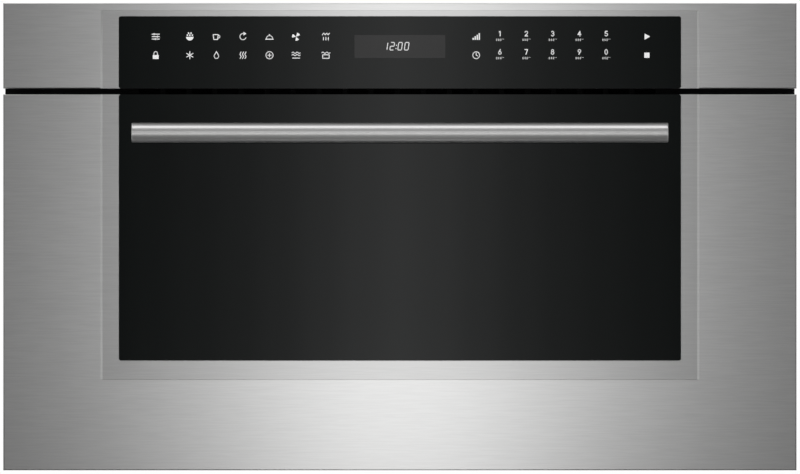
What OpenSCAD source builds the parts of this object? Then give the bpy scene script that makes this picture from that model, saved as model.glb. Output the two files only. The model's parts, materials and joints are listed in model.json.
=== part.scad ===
// Built-in speed oven: microwave, convection and grill in one cavity behind a
// full-width drop-down door. +X is to the right, +Y runs back into the cabinet,
// +Z is up. The origin is the middle of the cut-out's lower front edge: Y = 0 is
// the cabinet face, Z = 0 the shelf that the oven stands on. Millimetres.

/* [Front] */
// Width of the whole front
front_w = 759; // [745:1:775]
// Height of the whole front, from the door's lower edge to the control panel's top
front_h = 447; // [440:1:456]
// Height of the control panel
control_h = 81.6; // [76:0.2:88]
// Open slot between the control panel and the door
panel_gap = 5.7; // [4:0.1:8]
// How far the door hangs below the shelf
overhang = 8; // [6:0.5:10]
// Depth of the door, from its flat front sheet to its back
door_depth = 30; // [28:0.5:34]
// How far the frame round the glass stands proud of the flat sheet
frame_raise = 2; // [1:0.1:3]
// Flat sheet left on each side of the raised frame
raise_side_margin = 95; // [85:0.5:96]
// Flat sheet left above the raised frame
raise_top_margin = 7.2; // [5:0.1:9]
// Flat sheet left below the raised frame
raise_bottom_margin = 87; // [80:0.5:92]
// Run of the raised frame's steep upper and lower edges
raise_edge = 0.3; // [0.2:0.1:1.2]
// Steel between the side of the raised frame and the glass
glass_side_margin = 15.8; // [14:0.1:19]
// Steel left above the control glass
glass_top_margin = 12.8; // [11:0.1:15]
// Steel left below the door glass
glass_bottom_margin = 105.2; // [100:0.2:110]
// Thickness of the outer glass
glass_t = 4; // [3:0.5:5]
// How far the glass sits behind the raised frame
glass_recess = 0.8; // [0.2:0.1:1.5]
// Thickness of the front sheet steel
skin_t = 1; // [0.8:0.1:1.5]
// Bend radius of the front sheet's outer edges
edge_r = 1; // [0.8:0.1:3]

/* [Handle] */
// Diameter of the handle tube
handle_d = 19; // [16:0.5:24]
// Distance from the side of the front to the end of the handle
handle_side_margin = 124; // [120:1:160]
// Distance from the door's top edge down to the tube's axis
handle_drop = 37.1; // [30:0.1:44]
// Distance from the raised frame out to the tube's axis
handle_reach = 45; // [38:1:55]
// Diameter of the two handle posts
post_d = 14; // [11:0.5:15]
// Distance from each end of the tube to its post's axis
post_inset = 26; // [20:1:60]

/* [Cavity] */
// Room on each side of the cavity for a hinge, a latch and cooling air
side_room = 114.5; // [112.5:0.5:119.5]
// Height of the door's top above the cavity's ceiling
top_room = 34.7; // [31:0.1:40]
// Room behind the cavity for the fan, its motor and the power parts
rear_room = 155; // [150:1:165]
// Height of the cavity floor above the shelf
cavity_floor_z = 97; // [95:0.5:98]
// Gap between the turntable tray and the nearest cavity walls
tray_gap = 13; // [11:1:20]
// Height of the tray's rim above its plate
tray_rim_h = 9; // [6:0.5:14]
// Diameter of the heating tubes
heater_d = 6.5; // [5.5:0.1:7.5]

/* [Chassis] */
// How far each side of the case stays inside the front
case_side_inset = 27; // [24:0.5:29]
// How far the top of the case stays below the front's top
case_top_inset = 19; // [15:0.5:22]
// Depth of the case behind the cabinet face
chassis_d = 545; // [538:1:570]
// Thickness of the case and cavity sheets
sheet_t = 1; // [0.8:0.1:1.2]
// Thickness of the fixed front frame
flange_t = 1.2; // [1:0.1:1.6]
// Width of the folded joining flanges
lip_w = 12; // [10:0.5:14]

/* [Door mechanism] */
// Gap between the closed door and the fixed front frame
seal_gap = 1; // [0.6:0.1:1.4]
// Height of the hinge pin above the door's lower edge
pivot_up = 14; // [13:0.5:14.5]
// Distance of the hinge pin in front of the door's back
pivot_in = 14.8; // [14.4:0.1:15.4]
// Distance of each hinge from the side of the front
hinge_inset = 39.5; // [38:0.5:42]
// Thickness of the fixed hinge claw
claw_t = 5; // [4:0.5:6]
// Radius of the hinge pin
pin_r = 3; // [2.5:0.1:3.4]
// Travel that the cam gives the spring plunger as the door opens fully
plunger_stroke = 6; // [5:0.1:6.2]
// Width of the microwave choke round the window
choke_w = 28; // [26:0.5:30]
// Thickness of each latch hook
hook_t = 4; // [3:0.2:5]

/* [Hidden] */
$fn = 48;

// Finishes
brushed = [0.72, 0.72, 0.71];
galvanised = [0.66, 0.68, 0.69];
cavity_steel = [0.62, 0.62, 0.6];
dull_steel = [0.55, 0.55, 0.55];
black_paint = [0.06, 0.06, 0.06];
white_plastic = [0.9, 0.9, 0.88];

// Inside corners between the cavity's floor and its sides
floor_bend_r = 12;

// Clearances
fit = 0.3;        // between pieces that lie beside each other
run = 0.06;       // radial, for a shaft that turns in its bore
seat = 0.2;       // between a roller or tray and what it rides on
over = 1;         // how far a cutting shape runs past what it cuts

// Widths and depths that follow the front and the case
raise_w = front_w - 2 * raise_side_margin;
glass_w = raise_w - 2 * glass_side_margin;
handle_len = front_w - 2 * handle_side_margin;
cavity_w = front_w - 2 * side_room;
cavity_d = chassis_d - rear_room;
chassis_w = front_w - 2 * case_side_inset;
tray_d = min(cavity_w, cavity_d) - 2 * tray_gap;

// Planes along Y
door_back_y = -flange_t - seal_gap;
sheet_front_y = door_back_y - door_depth;
raised_y = sheet_front_y - frame_raise;
glass_front_y = raised_y + glass_recess;
glass_back_y = glass_front_y + glass_t;
panel_y = door_back_y - sheet_t;          // front face of the door's inner panel
case_back_y = chassis_d - sheet_t;        // front face of the back panel

// Planes along Z
front_z0 = -overhang;
front_z1 = front_z0 + front_h;
control_z0 = front_z1 - control_h;
door_z1 = control_z0 - panel_gap;
raise_z0 = front_z0 + raise_bottom_margin;
raise_z1 = front_z1 - raise_top_margin;
door_glass_z0 = front_z0 + glass_bottom_margin;
door_glass_z1 = door_z1;                  // flush with the slot above the door
control_glass_z0 = control_z0;
control_glass_z1 = front_z1 - glass_top_margin;
glass_corner_r = 2;
cavity_z1 = door_z1 - top_room;
cavity_h = cavity_z1 - cavity_floor_z;
chassis_h = front_z1 - case_top_inset;
cavity_mid_z = cavity_floor_z + cavity_h / 2;

// Choke frame, centred on the cavity
choke_x = cavity_w / 2 + choke_w;
choke_z0 = cavity_floor_z - choke_w;
choke_z1 = cavity_z1 + choke_w;
window_in = 11;                           // window wall, inside the cavity's outline
screen_t = 0.6;
inner_glass_t = 3;
cover_t = 2.8;
cover_y = door_back_y - cover_t;
inner_glass_y = cover_y - 1;
window_lip = 8;
inner_glass_in = 3;                       // inner glass, inside the cavity's outline
inner_glass_r = 4;

// Vents along the door's top edge
top_vent_x = glass_w / 2 - 44;
top_vent_y = glass_back_y + 9;
top_vent_d = 5;

// Control panel
display_w = 96;
display_h = 28;
display_d = 9;
display_z = control_glass_z1 - 28.5;
carrier_d = 14;
deflector_d = 14;                         // plate behind the front frame's air slots

// Handle
handle_z = door_z1 - handle_drop;
handle_y = raised_y - handle_reach;
handle_wall = 1.6;
cap_t = 2;
post_x = handle_len / 2 - post_inset;
screw_r = 3;

// Hinge
pivot_y = door_back_y - pivot_in;
pivot_z = front_z0 + pivot_up;
hinge_x = front_w / 2 - hinge_inset;
box_t = 1.5;
box_in = 16;                              // clear width between the hinge box's cheeks
box_x = box_in / 2 + box_t;
box_front_y = sheet_front_y + skin_t + 2.7;
box_top = 130;                            // above the pin
guide_up = 24;
stop_up = 110;
tip_r = 3;
cam_r = 7.5;                              // cam radius under the plunger, door closed
tip_up = cam_r + fit + tip_r;
rod_r = 3;
collar_r = 7;
collar_up = 28;
collar_h = 3;
foot_h = 5.5;
neck_above = 6;
neck_below = 3;
claw_room = 1.5;                          // clear round the claw where it passes a sheet
swing_cut = 6;                            // the door's rear edge starts this far behind the pin
box_below = 9;                            // the hinge box reaches this far below the pin
claw_tail = 40;
cross_pins = [12, 30];                    // places along Y of the pins through the claw's tail
cross_pin_r = 2;
cross_pin_up = 1.5;
receiver_h = 30;
cheek_t = 1.2;

// Latch
hook_x = (choke_x + hinge_x - box_x) / 2;
hook_z = door_z1 - 34;
hook_y = door_back_y - 12;
hook_pin_r = 2;
hook_reach = 40;                          // from its pivot to the tip
nose_d = 5.5;
hook_slot = hook_t / 2 + 1.2;             // half width of the slots it passes
ear_t = 1.5;
hook_low = 11;                            // room in the slots below and above its pin
hook_high = 14;
hook_eye_r = 4;
ear_r = 6;
ear_low = 16;                             // the ear's foot, below and above the pin
ear_high = 10;
block_half = 8;                           // half width of the interlock block
switch_w = 10;

// Case
inner_x = chassis_w / 2 - sheet_t;        // inside face of the outer cover's sides
pan_lip = 14;
flange_in = 0.8;                          // the fixed frame stays this far inside the front
cabinet_hole_r = 2.5;
cabinet_hole_in = 17.5;
cabinet_hole_z0 = 60;
cabinet_hole_z1 = front_z1 - 59;
case_screw_r = 1.5;
rib_h = 2;
rib_w = 18;
rib_r = 6;
rib_x = inner_x - 110;
rib_y = 60;
tray_z = cavity_z1 + sheet_t;             // component tray, level with the ceiling's top

// Convection
chamber_w = 300;
chamber_h = cavity_h - 20;
chamber_d = 50;
chamber_r = 30;
chamber_y = cavity_d + sheet_t;
chamber_back_y = chamber_y + chamber_d;
ring_r = chamber_h / 2 - 12;
fan_r = ring_r - 16;
fan_shaft_r = 4;
heater_leg_x = 14;
motor_gap = 21;
motor_len = 48;

// Turntable
table_y = cavity_d / 2;
track_h = 1;
track_r = 113;
track_half = 10;
roller_r = 9;
roller_w = 8;
axle_r = 2.5;
track_z = cavity_floor_z + track_h;
roller_z = track_z + seat + roller_r;
tray_under_z = roller_z + roller_r + seat;
tray_t = 5;
table_shaft_r = 3.4;
coupler_r = 14;
lobe_ring = 8;
lobe_r = 3;
tray_boss_r = 16.5;

// Grill element
grill_z = cavity_z1 - 12;
grill_runs = [for (i = [0:3]) 40 + i * (cavity_w / 2 - 60) / 3];
grill_front_y = 45;
grill_rear_y = cavity_d - 60;
grill_leg = 20;                           // from the rear runs back to the legs through the ceiling
grill_bend = cavity_z1 - grill_z - 2;
hanger_y = [grill_front_y + 60, grill_rear_y - 60];

// Waveguide and magnetron
guide_w = 40;
guide_d = 86;
guide_h = 82;
guide_flange = 10;
antenna_z = tray_z + 44;

// Blower
blower_x = -chassis_w / 2 + 102.5;
blower_y = chassis_d - 75;
blower_w = 50;
scroll_r = 45;
scroll_wall = 1.5;
wheel_r = 36;
blade_span = 8;
blower_hub_r = 6;
blower_shaft_r = 3;
blower_motor_len = 40;
blower_z = tray_z + sheet_t + scroll_r + 1;

// Lamp
lamp_y = 150;
lamp_z = cavity_z1 - 55;
lamp_size = 52;
lamp_house_d = 40;

// Temperature sensor
sensor_x = -cavity_w / 2 + 30;
sensor_z = cavity_z1 - 22;

// Power inlet
inlet_x = -chassis_w / 2 + 102.5;
inlet_z = 62;
inlet_bore_r = 8;
inlet_r = 11;
inlet_reach = 12;                         // the gland, on each side of the back panel

// Power parts at the rear
power_x = chassis_w / 2 - 102.5;
power_y = chassis_d - 75;

// A box from its two corners
module block(x0, x1, y0, y1, z0, z1) {
    translate([x0, y0, z0]) cube([x1 - x0, y1 - y0, z1 - z0]);
}

// A box centred on X = 0
module slab(w, y0, y1, z0, z1) {
    block(-w / 2, w / 2, y0, y1, z0, z1);
}

// A 2D outline in X and Y, drawn out from z0 to z1
module along_z(z0, z1) {
    translate([0, 0, z0]) linear_extrude(z1 - z0) children();
}

// A 2D outline in X and Z, drawn out from y0 to y1
module along_y(y0, y1) {
    translate([0, y1, 0]) rotate([90, 0, 0]) linear_extrude(y1 - y0) children();
}

// A 2D outline in Y and Z, drawn out from x0 to x1
module along_x(x0, x1) {
    translate([x0, 0, 0]) rotate([90, 0, 90]) linear_extrude(x1 - x0) children();
}

module rod_x(x0, x1, y, z, r) {
    translate([x0, y, z]) rotate([0, 90, 0]) cylinder(h = x1 - x0, r = r);
}

module rod_y(y0, y1, x, z, r) {
    translate([x, y1, z]) rotate([90, 0, 0]) cylinder(h = y1 - y0, r = r);
}

module rod_z(z0, z1, x, y, r) {
    translate([x, y, z0]) cylinder(h = z1 - z0, r = r);
}

module both_sides() {
    children();
    mirror([1, 0, 0]) children();
}

// Rectangle from its corners, with its own radius at each end
module rounded(x0, x1, y0, y1, r) {
    translate([x0 + r, y0]) square([x1 - x0 - 2 * r, y1 - y0]);
    translate([x0, y0 + r]) square([x1 - x0, y1 - y0 - 2 * r]);
    for (x = [x0 + r, x1 - r], y = [y0 + r, y1 - r]) translate([x, y]) circle(r);
}

// Rectangle whose two corners at the low second coordinate are rounded
module low_rounded(x0, x1, y0, y1, r) {
    translate([x0 + r, y0]) square([x1 - x0 - 2 * r, y1 - y0]);
    translate([x0, y0 + r]) square([x1 - x0, y1 - y0 - r]);
    for (x = [x0 + r, x1 - r]) translate([x, y0 + r]) circle(r);
}

// Rectangle whose two corners at the low first coordinate are rounded
module left_rounded(x0, x1, y0, y1, r) {
    translate([x0 + r, y0]) square([x1 - x0 - r, y1 - y0]);
    translate([x0, y0 + r]) square([x1 - x0, y1 - y0 - 2 * r]);
    for (y = [y0 + r, y1 - r]) translate([x0 + r, y]) circle(r);
}

// Tube swept along a path, as rings of n corners square to it. Each ring's first
// corner direction is carried on from the ring before, so that the tube never twists.
function unit(v) = v / norm(v);
function square_to(v, d) = unit(v - (v * d) * d);
function heading(path, i) =
    unit((i < len(path) - 1 ? unit(path[i + 1] - path[i]) : [0, 0, 0])
        + (i > 0 ? unit(path[i] - path[i - 1]) : [0, 0, 0]));
function carried(d, start) = [
    for (i = 0, u = square_to(start, d[0]); i < len(d);
        u = square_to(u, d[min(i + 1, len(d) - 1)]), i = i + 1) u
];
function ring(c, d, u, r, n) = let (v = cross(d, u))
    [for (k = [0:n - 1]) c + r * (cos(360 * k / n) * u + sin(360 * k / n) * v)];
module sweep(path, start, r, n) {
    d = [for (i = [0:len(path) - 1]) heading(path, i)];
    u = carried(d, start);
    rings = [for (i = [0:len(path) - 1]) each ring(path[i], d[i], u[i], r, n)];
    last = (len(path) - 1) * n;
    walls = [for (i = [0:len(path) - 2], k = [0:n - 1]) let (a = i * n + k, b = i * n + (k + 1) % n)
        each [[a, b, b + n], [a, b + n, a + n]]];
    caps = [for (k = [1:n - 2]) each [[0, k + 1, k], [last, last + k, last + k + 1]]];
    polyhedron(points = rings, faces = [for (f = concat(walls, caps)) [f[0], f[2], f[1]]]);
}

// A path with each inner corner rounded by an arc of radius r in steps
function arc_corner(a, b, c, r, steps) =
    let (u = unit(a - b), v = unit(c - b), half = acos(u * v) / 2, cut = r / tan(half),
        centre = b + unit(u + v) * r / sin(half), p = b + u * cut - centre, q = b + v * cut - centre,
        turn = 180 - 2 * half)
    [for (i = [0:steps]) let (s = i / steps)
        centre + (p * sin((1 - s) * turn) + q * sin(s * turn)) / sin(turn)];
function rounded_path(p, r, steps = 4) = [
    p[0],
    for (i = [1:len(p) - 2]) each arc_corner(p[i - 1], p[i], p[i + 1], r, steps),
    p[len(p) - 1]
];

// Front panels: a folded sheet with rounded front edges
module panel_form(half, y0, y1, z0, z1, r) {
    intersection() {
        along_z(z0, z1) low_rounded(-half, half, y0, y1, r);
        along_x(-half, half) left_rounded(y0, y1, z0, z1, r);
    }
}

// The raised frame's block, bevelled at 45 degrees on its sides and steeper at its ends.
// For the sheet's inside, its faces move back by the sheet's thickness.
module raised_form(z0, z1, bevel_low, bevel_high, inside) {
    y = raised_y + inside;
    base = sheet_front_y + inside;
    shift = inside * (norm([raise_edge, frame_raise]) - raise_edge) / frame_raise;
    half = raise_w / 2 - inside * (sqrt(2) - 1);
    back = base + skin_t * 2;
    low = bevel_low ? z0 + shift : z0;
    high = bevel_high ? z1 - shift : z1;
    low_out = bevel_low ? low - raise_edge : low;
    high_out = bevel_high ? high + raise_edge : high;
    intersection() {
        along_z(low_out, high_out) polygon([[-half, y], [half, y], [half + frame_raise, base],
            [half + frame_raise, back], [-half - frame_raise, back], [-half - frame_raise, base]]);
        along_x(-half - frame_raise, half + frame_raise) polygon([[y, low], [base, low_out],
            [back, low_out], [back, high_out], [base, high_out], [y, high]]);
    }
}

// Opening for a glass, from z0 to z1, as deep as the plane given. It may run out past
// the panel's lower or upper edge.
module glass_cut(z0, z1, open_low, open_high, deep) {
    half = glass_w / 2 + fit;
    low = z0 - (open_low ? 2 * panel_gap : fit);
    high = z1 + (open_high ? 2 * panel_gap : fit);
    along_y(raised_y - over, deep) rounded(-half, half, low, high, glass_corner_r);
}

module slot_row(x0, x1, count, y0, y1, z0, z1, share = 0.6) {
    pitch = (x1 - x0) / count;
    for (i = [0:count - 1]) block(x0 + i * pitch, x0 + (i + share) * pitch, y0, y1, z0, z1);
}

// The door's outer sheet, with its raised frame, glass opening and folded edges
module door_skin() {
    color(brushed) difference() {
        union() {
            difference() {
                union() {
                    panel_form(front_w / 2, sheet_front_y, panel_y, front_z0, door_z1, edge_r);
                    raised_form(raise_z0, door_z1, true, false, 0);
                }
                panel_form(front_w / 2 - skin_t, sheet_front_y + skin_t, panel_y + over,
                    front_z0 + skin_t, door_z1 - skin_t, edge_r - skin_t / 2);
                raised_form(raise_z0, door_z1 - skin_t, true, false, skin_t);
            }
            // folded lips that carry the inner panel
            difference() {
                slab(front_w - skin_t, panel_y - skin_t, panel_y, pivot_z, door_z1 - skin_t / 2);
                slab(front_w - 2 * (skin_t + lip_w), panel_y - skin_t - over, panel_y + over, 0,
                    max(door_z1 - skin_t - lip_w, choke_z1 + fit));
            }
            // return round the glass
            difference() {
                glass_return(door_glass_z0, door_z1 - skin_t, false);
                glass_cut(door_glass_z0, door_z1, false, true, 0);
            }
        }
        glass_cut(door_glass_z0, door_z1, false, true, glass_back_y);
        // the lower rear corner is cut back so that it clears the frame as the door swings
        slab(front_w + 2 * over, pivot_y + swing_cut, 0, front_z0 - over, pivot_z);
        both_sides() block(hinge_x - box_x, hinge_x + box_x, pivot_y - neck_below - claw_room, 0,
            front_z0 - over, pivot_z - 10);
        slot_row(-top_vent_x, top_vent_x, 15, top_vent_y, top_vent_y + top_vent_d,
            door_z1 - skin_t - over, door_z1 + over);
    }
}

module glass_return(z0, z1, open_low) {
    half = glass_w / 2 + fit + skin_t;
    low = open_low ? z0 : z0 - fit - skin_t;
    high = open_low ? z1 + fit + skin_t : z1;
    block(-half, half, raised_y + skin_t / 2, glass_back_y, low, high);
}

module glass_plate(z0, z1) {
    color([0.02, 0.02, 0.025, 0.9]) difference() {
        along_y(glass_front_y, glass_back_y)
            rounded(-glass_w / 2, glass_w / 2, z0, z1, glass_corner_r);
        children();
    }
}

module door_glass() {
    glass_plate(door_glass_z0, door_glass_z1)
        both_sides() rod_y(glass_front_y - over, glass_back_y + over, post_x, handle_z, screw_r + 0.5);
}

module control_glass() {
    glass_plate(control_glass_z0, control_glass_z1);
}

// Inner door: window wall and choke channel pressed from one sheet
module choke_frame() {
    win_x = cavity_w / 2 - window_in;
    win_z0 = cavity_floor_z + window_in;
    win_z1 = cavity_z1 - window_in;
    color([0.35, 0.35, 0.36]) difference() {
        slab(2 * choke_x, glass_back_y, cover_y, choke_z0, choke_z1);
        // choke channel, open to the back
        difference() {
            slab(2 * (choke_x - sheet_t), glass_back_y + sheet_t, cover_y + 1,
                choke_z0 + sheet_t, choke_z1 - sheet_t);
            slab(2 * (win_x + sheet_t), glass_back_y, cover_y + 2, win_z0 - sheet_t, win_z1 + sheet_t);
        }
        slab(2 * win_x, glass_back_y + sheet_t, cover_y + 2, win_z0, win_z1);
        slab(2 * (win_x - window_lip), glass_back_y - 1, cover_y, win_z0 + window_lip, win_z1 - window_lip);
        // the window wall ends lower than the outer wall, and the inner glass sits on it
        slab(2 * (choke_x - sheet_t), inner_glass_y, cover_y + 2, choke_z0 + sheet_t, choke_z1 - sheet_t);
        both_sides() rod_y(glass_back_y - 1, glass_back_y + 2, post_x, handle_z, screw_r + 0.5);
    }
}

module window_screen() {
    win_x = cavity_w / 2 - window_in - fit;
    color([0.1, 0.1, 0.1]) slab(2 * win_x, glass_back_y + sheet_t, glass_back_y + sheet_t + screen_t,
        cavity_floor_z + window_in + fit, cavity_z1 - window_in - fit);
}

module inner_glass() {
    half = cavity_w / 2 - inner_glass_in;
    color([0.1, 0.12, 0.12, 0.5]) along_y(inner_glass_y, inner_glass_y + inner_glass_t)
        rounded(-half, half, cavity_floor_z + inner_glass_in, cavity_z1 - inner_glass_in, inner_glass_r);
}

module choke_cover() {
    half = cavity_w / 2 - inner_glass_in + fit;
    color([0.08, 0.08, 0.08]) difference() {
        along_y(cover_y, door_back_y) rounded(-choke_x, choke_x, choke_z0, choke_z1, 3);
        along_y(cover_y - over, door_back_y + over) rounded(-half, half,
            cavity_floor_z + inner_glass_in - fit, cavity_z1 - inner_glass_in + fit, inner_glass_r);
    }
}

module latch_slot(y0, y1) {
    block(hook_x - hook_slot, hook_x + hook_slot, y0, y1, hook_z - hook_low, hook_z + hook_high);
}

module latch_ear() {
    side = ear_r / sqrt(2);
    foot = panel_y + sheet_t / 2;
    translate([hook_y, hook_z]) circle(ear_r);
    polygon([[hook_y - side, hook_z - side], [foot, hook_z - ear_low], [foot, hook_z + ear_high],
        [hook_y + ear_r / 3, hook_z + ear_r * 0.94]]);
}

// Back sheet of the door, with the ears that carry the latch hooks
module door_inner_panel() {
    color(dull_steel) difference() {
        union() {
            slab(front_w - 2 * fit, panel_y, door_back_y, pivot_z - 4, door_z1 - fit);
            both_sides() for (x = [hook_x - hook_slot - ear_t, hook_x + hook_slot])
                along_x(x, x + ear_t) latch_ear();
        }
        slab(2 * (choke_x + fit), hook_y - ear_r - over, door_back_y + over, choke_z0 - fit, choke_z1 + fit);
        both_sides() {
            latch_slot(panel_y - 0.01, door_back_y + over);
            rod_x(hook_x - block_half, hook_x + block_half, hook_y, hook_z, hook_pin_r + run);
            claw_gap(panel_y - over, door_back_y + over, front_z0);
        }
    }
}

// Opening that lets a hinge claw through a sheet
module claw_gap(y0, y1, z0) {
    half = claw_t / 2 + claw_room;
    block(hinge_x - half, hinge_x + half, y0, y1, z0, pivot_z + neck_above + claw_room);
}

module handle_tube() {
    half = handle_len / 2 - cap_t;
    color([0.78, 0.78, 0.78]) difference() {
        rod_x(-half, half, handle_y, handle_z, handle_d / 2);
        rod_x(-half - 1, half + 1, handle_y, handle_z, handle_d / 2 - handle_wall);
        both_sides() rod_y(handle_y, handle_y + handle_d, post_x, handle_z, screw_r + run);
    }
}

module handle_end_caps() {
    half = handle_len / 2;
    color([0.75, 0.75, 0.75]) both_sides() {
        rod_x(half - cap_t, half - 0.5, handle_y, handle_z, handle_d / 2);
        translate([half - 0.5, handle_y, handle_z]) rotate([0, 90, 0])
            cylinder(h = 0.5, r1 = handle_d / 2, r2 = handle_d / 2 - 0.5);
        rod_x(half - cap_t - 8, half - cap_t, handle_y, handle_z, handle_d / 2 - handle_wall - 0.05);
    }
}

module handle_posts() {
    color([0.72, 0.72, 0.72]) both_sides() difference() {
        union() {
            rod_y(handle_y, glass_front_y, post_x, handle_z, post_d / 2);
            rod_y(glass_front_y - 3, glass_front_y, post_x, handle_z, post_d / 2 + 2);
        }
        rod_x(post_x - post_d, post_x + post_d, handle_y, handle_z, handle_d / 2 + 0.05);
        rod_y(handle_y, glass_front_y + over, post_x, handle_z, screw_r + run);
    }
}

module handle_screws() {
    seat_y = glass_back_y + sheet_t;
    head_h = 3.5;
    socket_h = 2.5;
    color([0.6, 0.6, 0.6]) both_sides() {
        rod_y(handle_y + handle_d / 2 - handle_wall - 2, seat_y, post_x, handle_z, screw_r);
        difference() {
            rod_y(seat_y, seat_y + head_h, post_x, handle_z, 5.5);
            translate([post_x, seat_y + head_h + 0.1, handle_z]) rotate([90, 0, 0])
                cylinder(h = socket_h, r = 2.6, $fn = 6);
        }
    }
}

// Claw and cam: the fixed half of each hinge. The cam's radius grows evenly from
// straight up to straight ahead, so the plunger moves in step with the door.
cam_rate = plunger_stroke / 90;
function pitch_point(a) = (tip_up + cam_rate * a) * [-sin(a), cos(a)];
function cam_normal(a) = let (d = pitch_point(a + 0.5) - pitch_point(a - 0.5)) unit([d[1], -d[0]]);
function cam_point(a) = pitch_point(a) - (tip_r + fit) * cam_normal(a) * sign(cam_normal(a) * pitch_point(a));
function head_point(a) = let (r = norm(cam_point(90)), s = (a - 90) / 90)
    (r - s * (r - cam_r - 1.5)) * [-sin(a), cos(a)];
module claw_outline() {
    translate([pivot_y, pivot_z]) {
        polygon([
            for (a = [0:6:90]) cam_point(a),
            for (a = [96:12:180]) head_point(a),
            [neck_below, -neck_below], [cam_r, 0], [cam_r * 0.7, cam_r * 0.7]
        ]);
        circle(cam_r);
    }
    translate([pivot_y, pivot_z - neck_below]) square([claw_tail - pivot_y, neck_above + neck_below]);
}

module hinge_claws() {
    eye = box_in / 2 - 0.2;
    color([0.5, 0.5, 0.5]) both_sides() difference() {
        union() {
            along_x(hinge_x - claw_t / 2, hinge_x + claw_t / 2) claw_outline();
            rod_x(hinge_x - eye, hinge_x + eye, pivot_y, pivot_z, pin_r + 2);
        }
        rod_x(hinge_x - box_in, hinge_x + box_in, pivot_y, pivot_z, pin_r + run);
        for (y = cross_pins)
            rod_x(hinge_x - claw_t, hinge_x + claw_t, y, pivot_z + cross_pin_up, cross_pin_r + 0.1);
    }
}

// Brackets on the base pan that hold the claws' tails, with two cross pins each
module hinge_receivers() {
    gap = claw_t / 2 + 0.1;
    cheek = hinge_x - gap - cheek_t;
    foot_x = hinge_x - 11;
    foot_y = 52;
    tail = claw_tail + over;
    low = sheet_t;
    color(dull_steel) both_sides() {
        difference() {
            block(foot_x, hinge_x + gap + cheek_t, sheet_t, foot_y, low, receiver_h);
            block(hinge_x - gap, hinge_x + gap, 0, tail, low - over, receiver_h + over);
            block(foot_x - over, cheek, 0, foot_y + over, low + cheek_t, receiver_h + over);
            block(cheek - over, hinge_x + 12, tail + cheek_t, foot_y + over, low + cheek_t, receiver_h + over);
        }
        for (y = cross_pins)
            rod_x(hinge_x - gap - 0.5, hinge_x + gap + 0.5, y, pivot_z + cross_pin_up, cross_pin_r);
    }
}

module hinge_boxes() {
    front = box_front_y;
    half = box_in / 2;
    swing_r = panel_y - pivot_y;
    color([0.6, 0.6, 0.6]) both_sides() difference() {
        along_x(hinge_x - box_x, hinge_x + box_x) {
            translate([front, pivot_z]) square([panel_y - front, box_top]);
            intersection() {
                translate([pivot_y, pivot_z]) circle(swing_r);
                translate([front, pivot_z - box_below]) square([panel_y - front, box_below + over]);
            }
        }
        // inside of the channel, below, between and above the two cross plates
        for (span = [[-swing_r, guide_up], [guide_up + box_t, stop_up], [stop_up + box_t, box_top + over]])
            block(hinge_x - half, hinge_x + half, front - over, panel_y - box_t,
                pivot_z + span[0], pivot_z + span[1]);
        block(hinge_x - half, hinge_x + half, front, panel_y + over, pivot_z - swing_r,
            pivot_z + neck_above + 2);
        rod_x(hinge_x - box_in, hinge_x + box_in, pivot_y, pivot_z, pin_r);
        rod_z(pivot_z + guide_up - over, pivot_z + box_top, hinge_x, pivot_y, rod_r + fit);
    }
}

module hinge_pins() {
    head_t = 1.5;
    color([0.7, 0.7, 0.7]) both_sides() {
        rod_x(hinge_x - box_x - 1, hinge_x + box_x, pivot_y, pivot_z, pin_r);
        rod_x(hinge_x + box_x, hinge_x + box_x + head_t, pivot_y, pivot_z, pin_r + 1.5);
    }
}

module plunger() {
    color([0.65, 0.65, 0.62]) {
        rod_z(pivot_z + tip_up + foot_h / 2, pivot_z + stop_up + box_t + 12.5, hinge_x, pivot_y, rod_r);
        rod_z(pivot_z + collar_up, pivot_z + collar_up + collar_h, hinge_x, pivot_y, collar_r);
        rod_x(hinge_x - claw_t / 2, hinge_x + claw_t / 2, pivot_y, pivot_z + tip_up, tip_r);
        block(hinge_x - claw_t / 2, hinge_x + claw_t / 2, pivot_y - tip_r, pivot_y + tip_r,
            pivot_z + tip_up, pivot_z + tip_up + foot_h);
    }
}

module plunger_left() {
    mirror([1, 0, 0]) plunger();
}

module plunger_right() {
    plunger();
}

// Compression spring between the plunger's collar and the box's upper plate
spring_wire = 1.1;
spring_r = 5.4;
spring_turns = 11;
spring_z0 = pivot_z + collar_up + collar_h + spring_wire;
spring_z1 = pivot_z + stop_up - spring_wire;
spring_steps = 8;
spring_path = [for (i = [0:spring_turns * spring_steps]) let (a = 360 * i / spring_steps)
    [hinge_x + spring_r * cos(a), pivot_y + spring_r * sin(a),
    spring_z0 + (spring_z1 - spring_z0) * i / (spring_turns * spring_steps)]];
function least_gap(path, skip, wire) = min([for (i = [0:len(path) - 1 - skip])
    min([for (j = [i + skip:len(path) - 1]) norm(path[i] - path[j])])]) - 2 * wire;
module hinge_spring() {
    echo(hinge_spring_least_gap = least_gap(spring_path, spring_steps / 2, spring_wire));
    color([0.45, 0.45, 0.45]) sweep(spring_path, [0, 0, 1], spring_wire, 6);
}

module hinge_spring_left() {
    mirror([1, 0, 0]) hinge_spring();
}

module hinge_spring_right() {
    hinge_spring();
}

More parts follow.
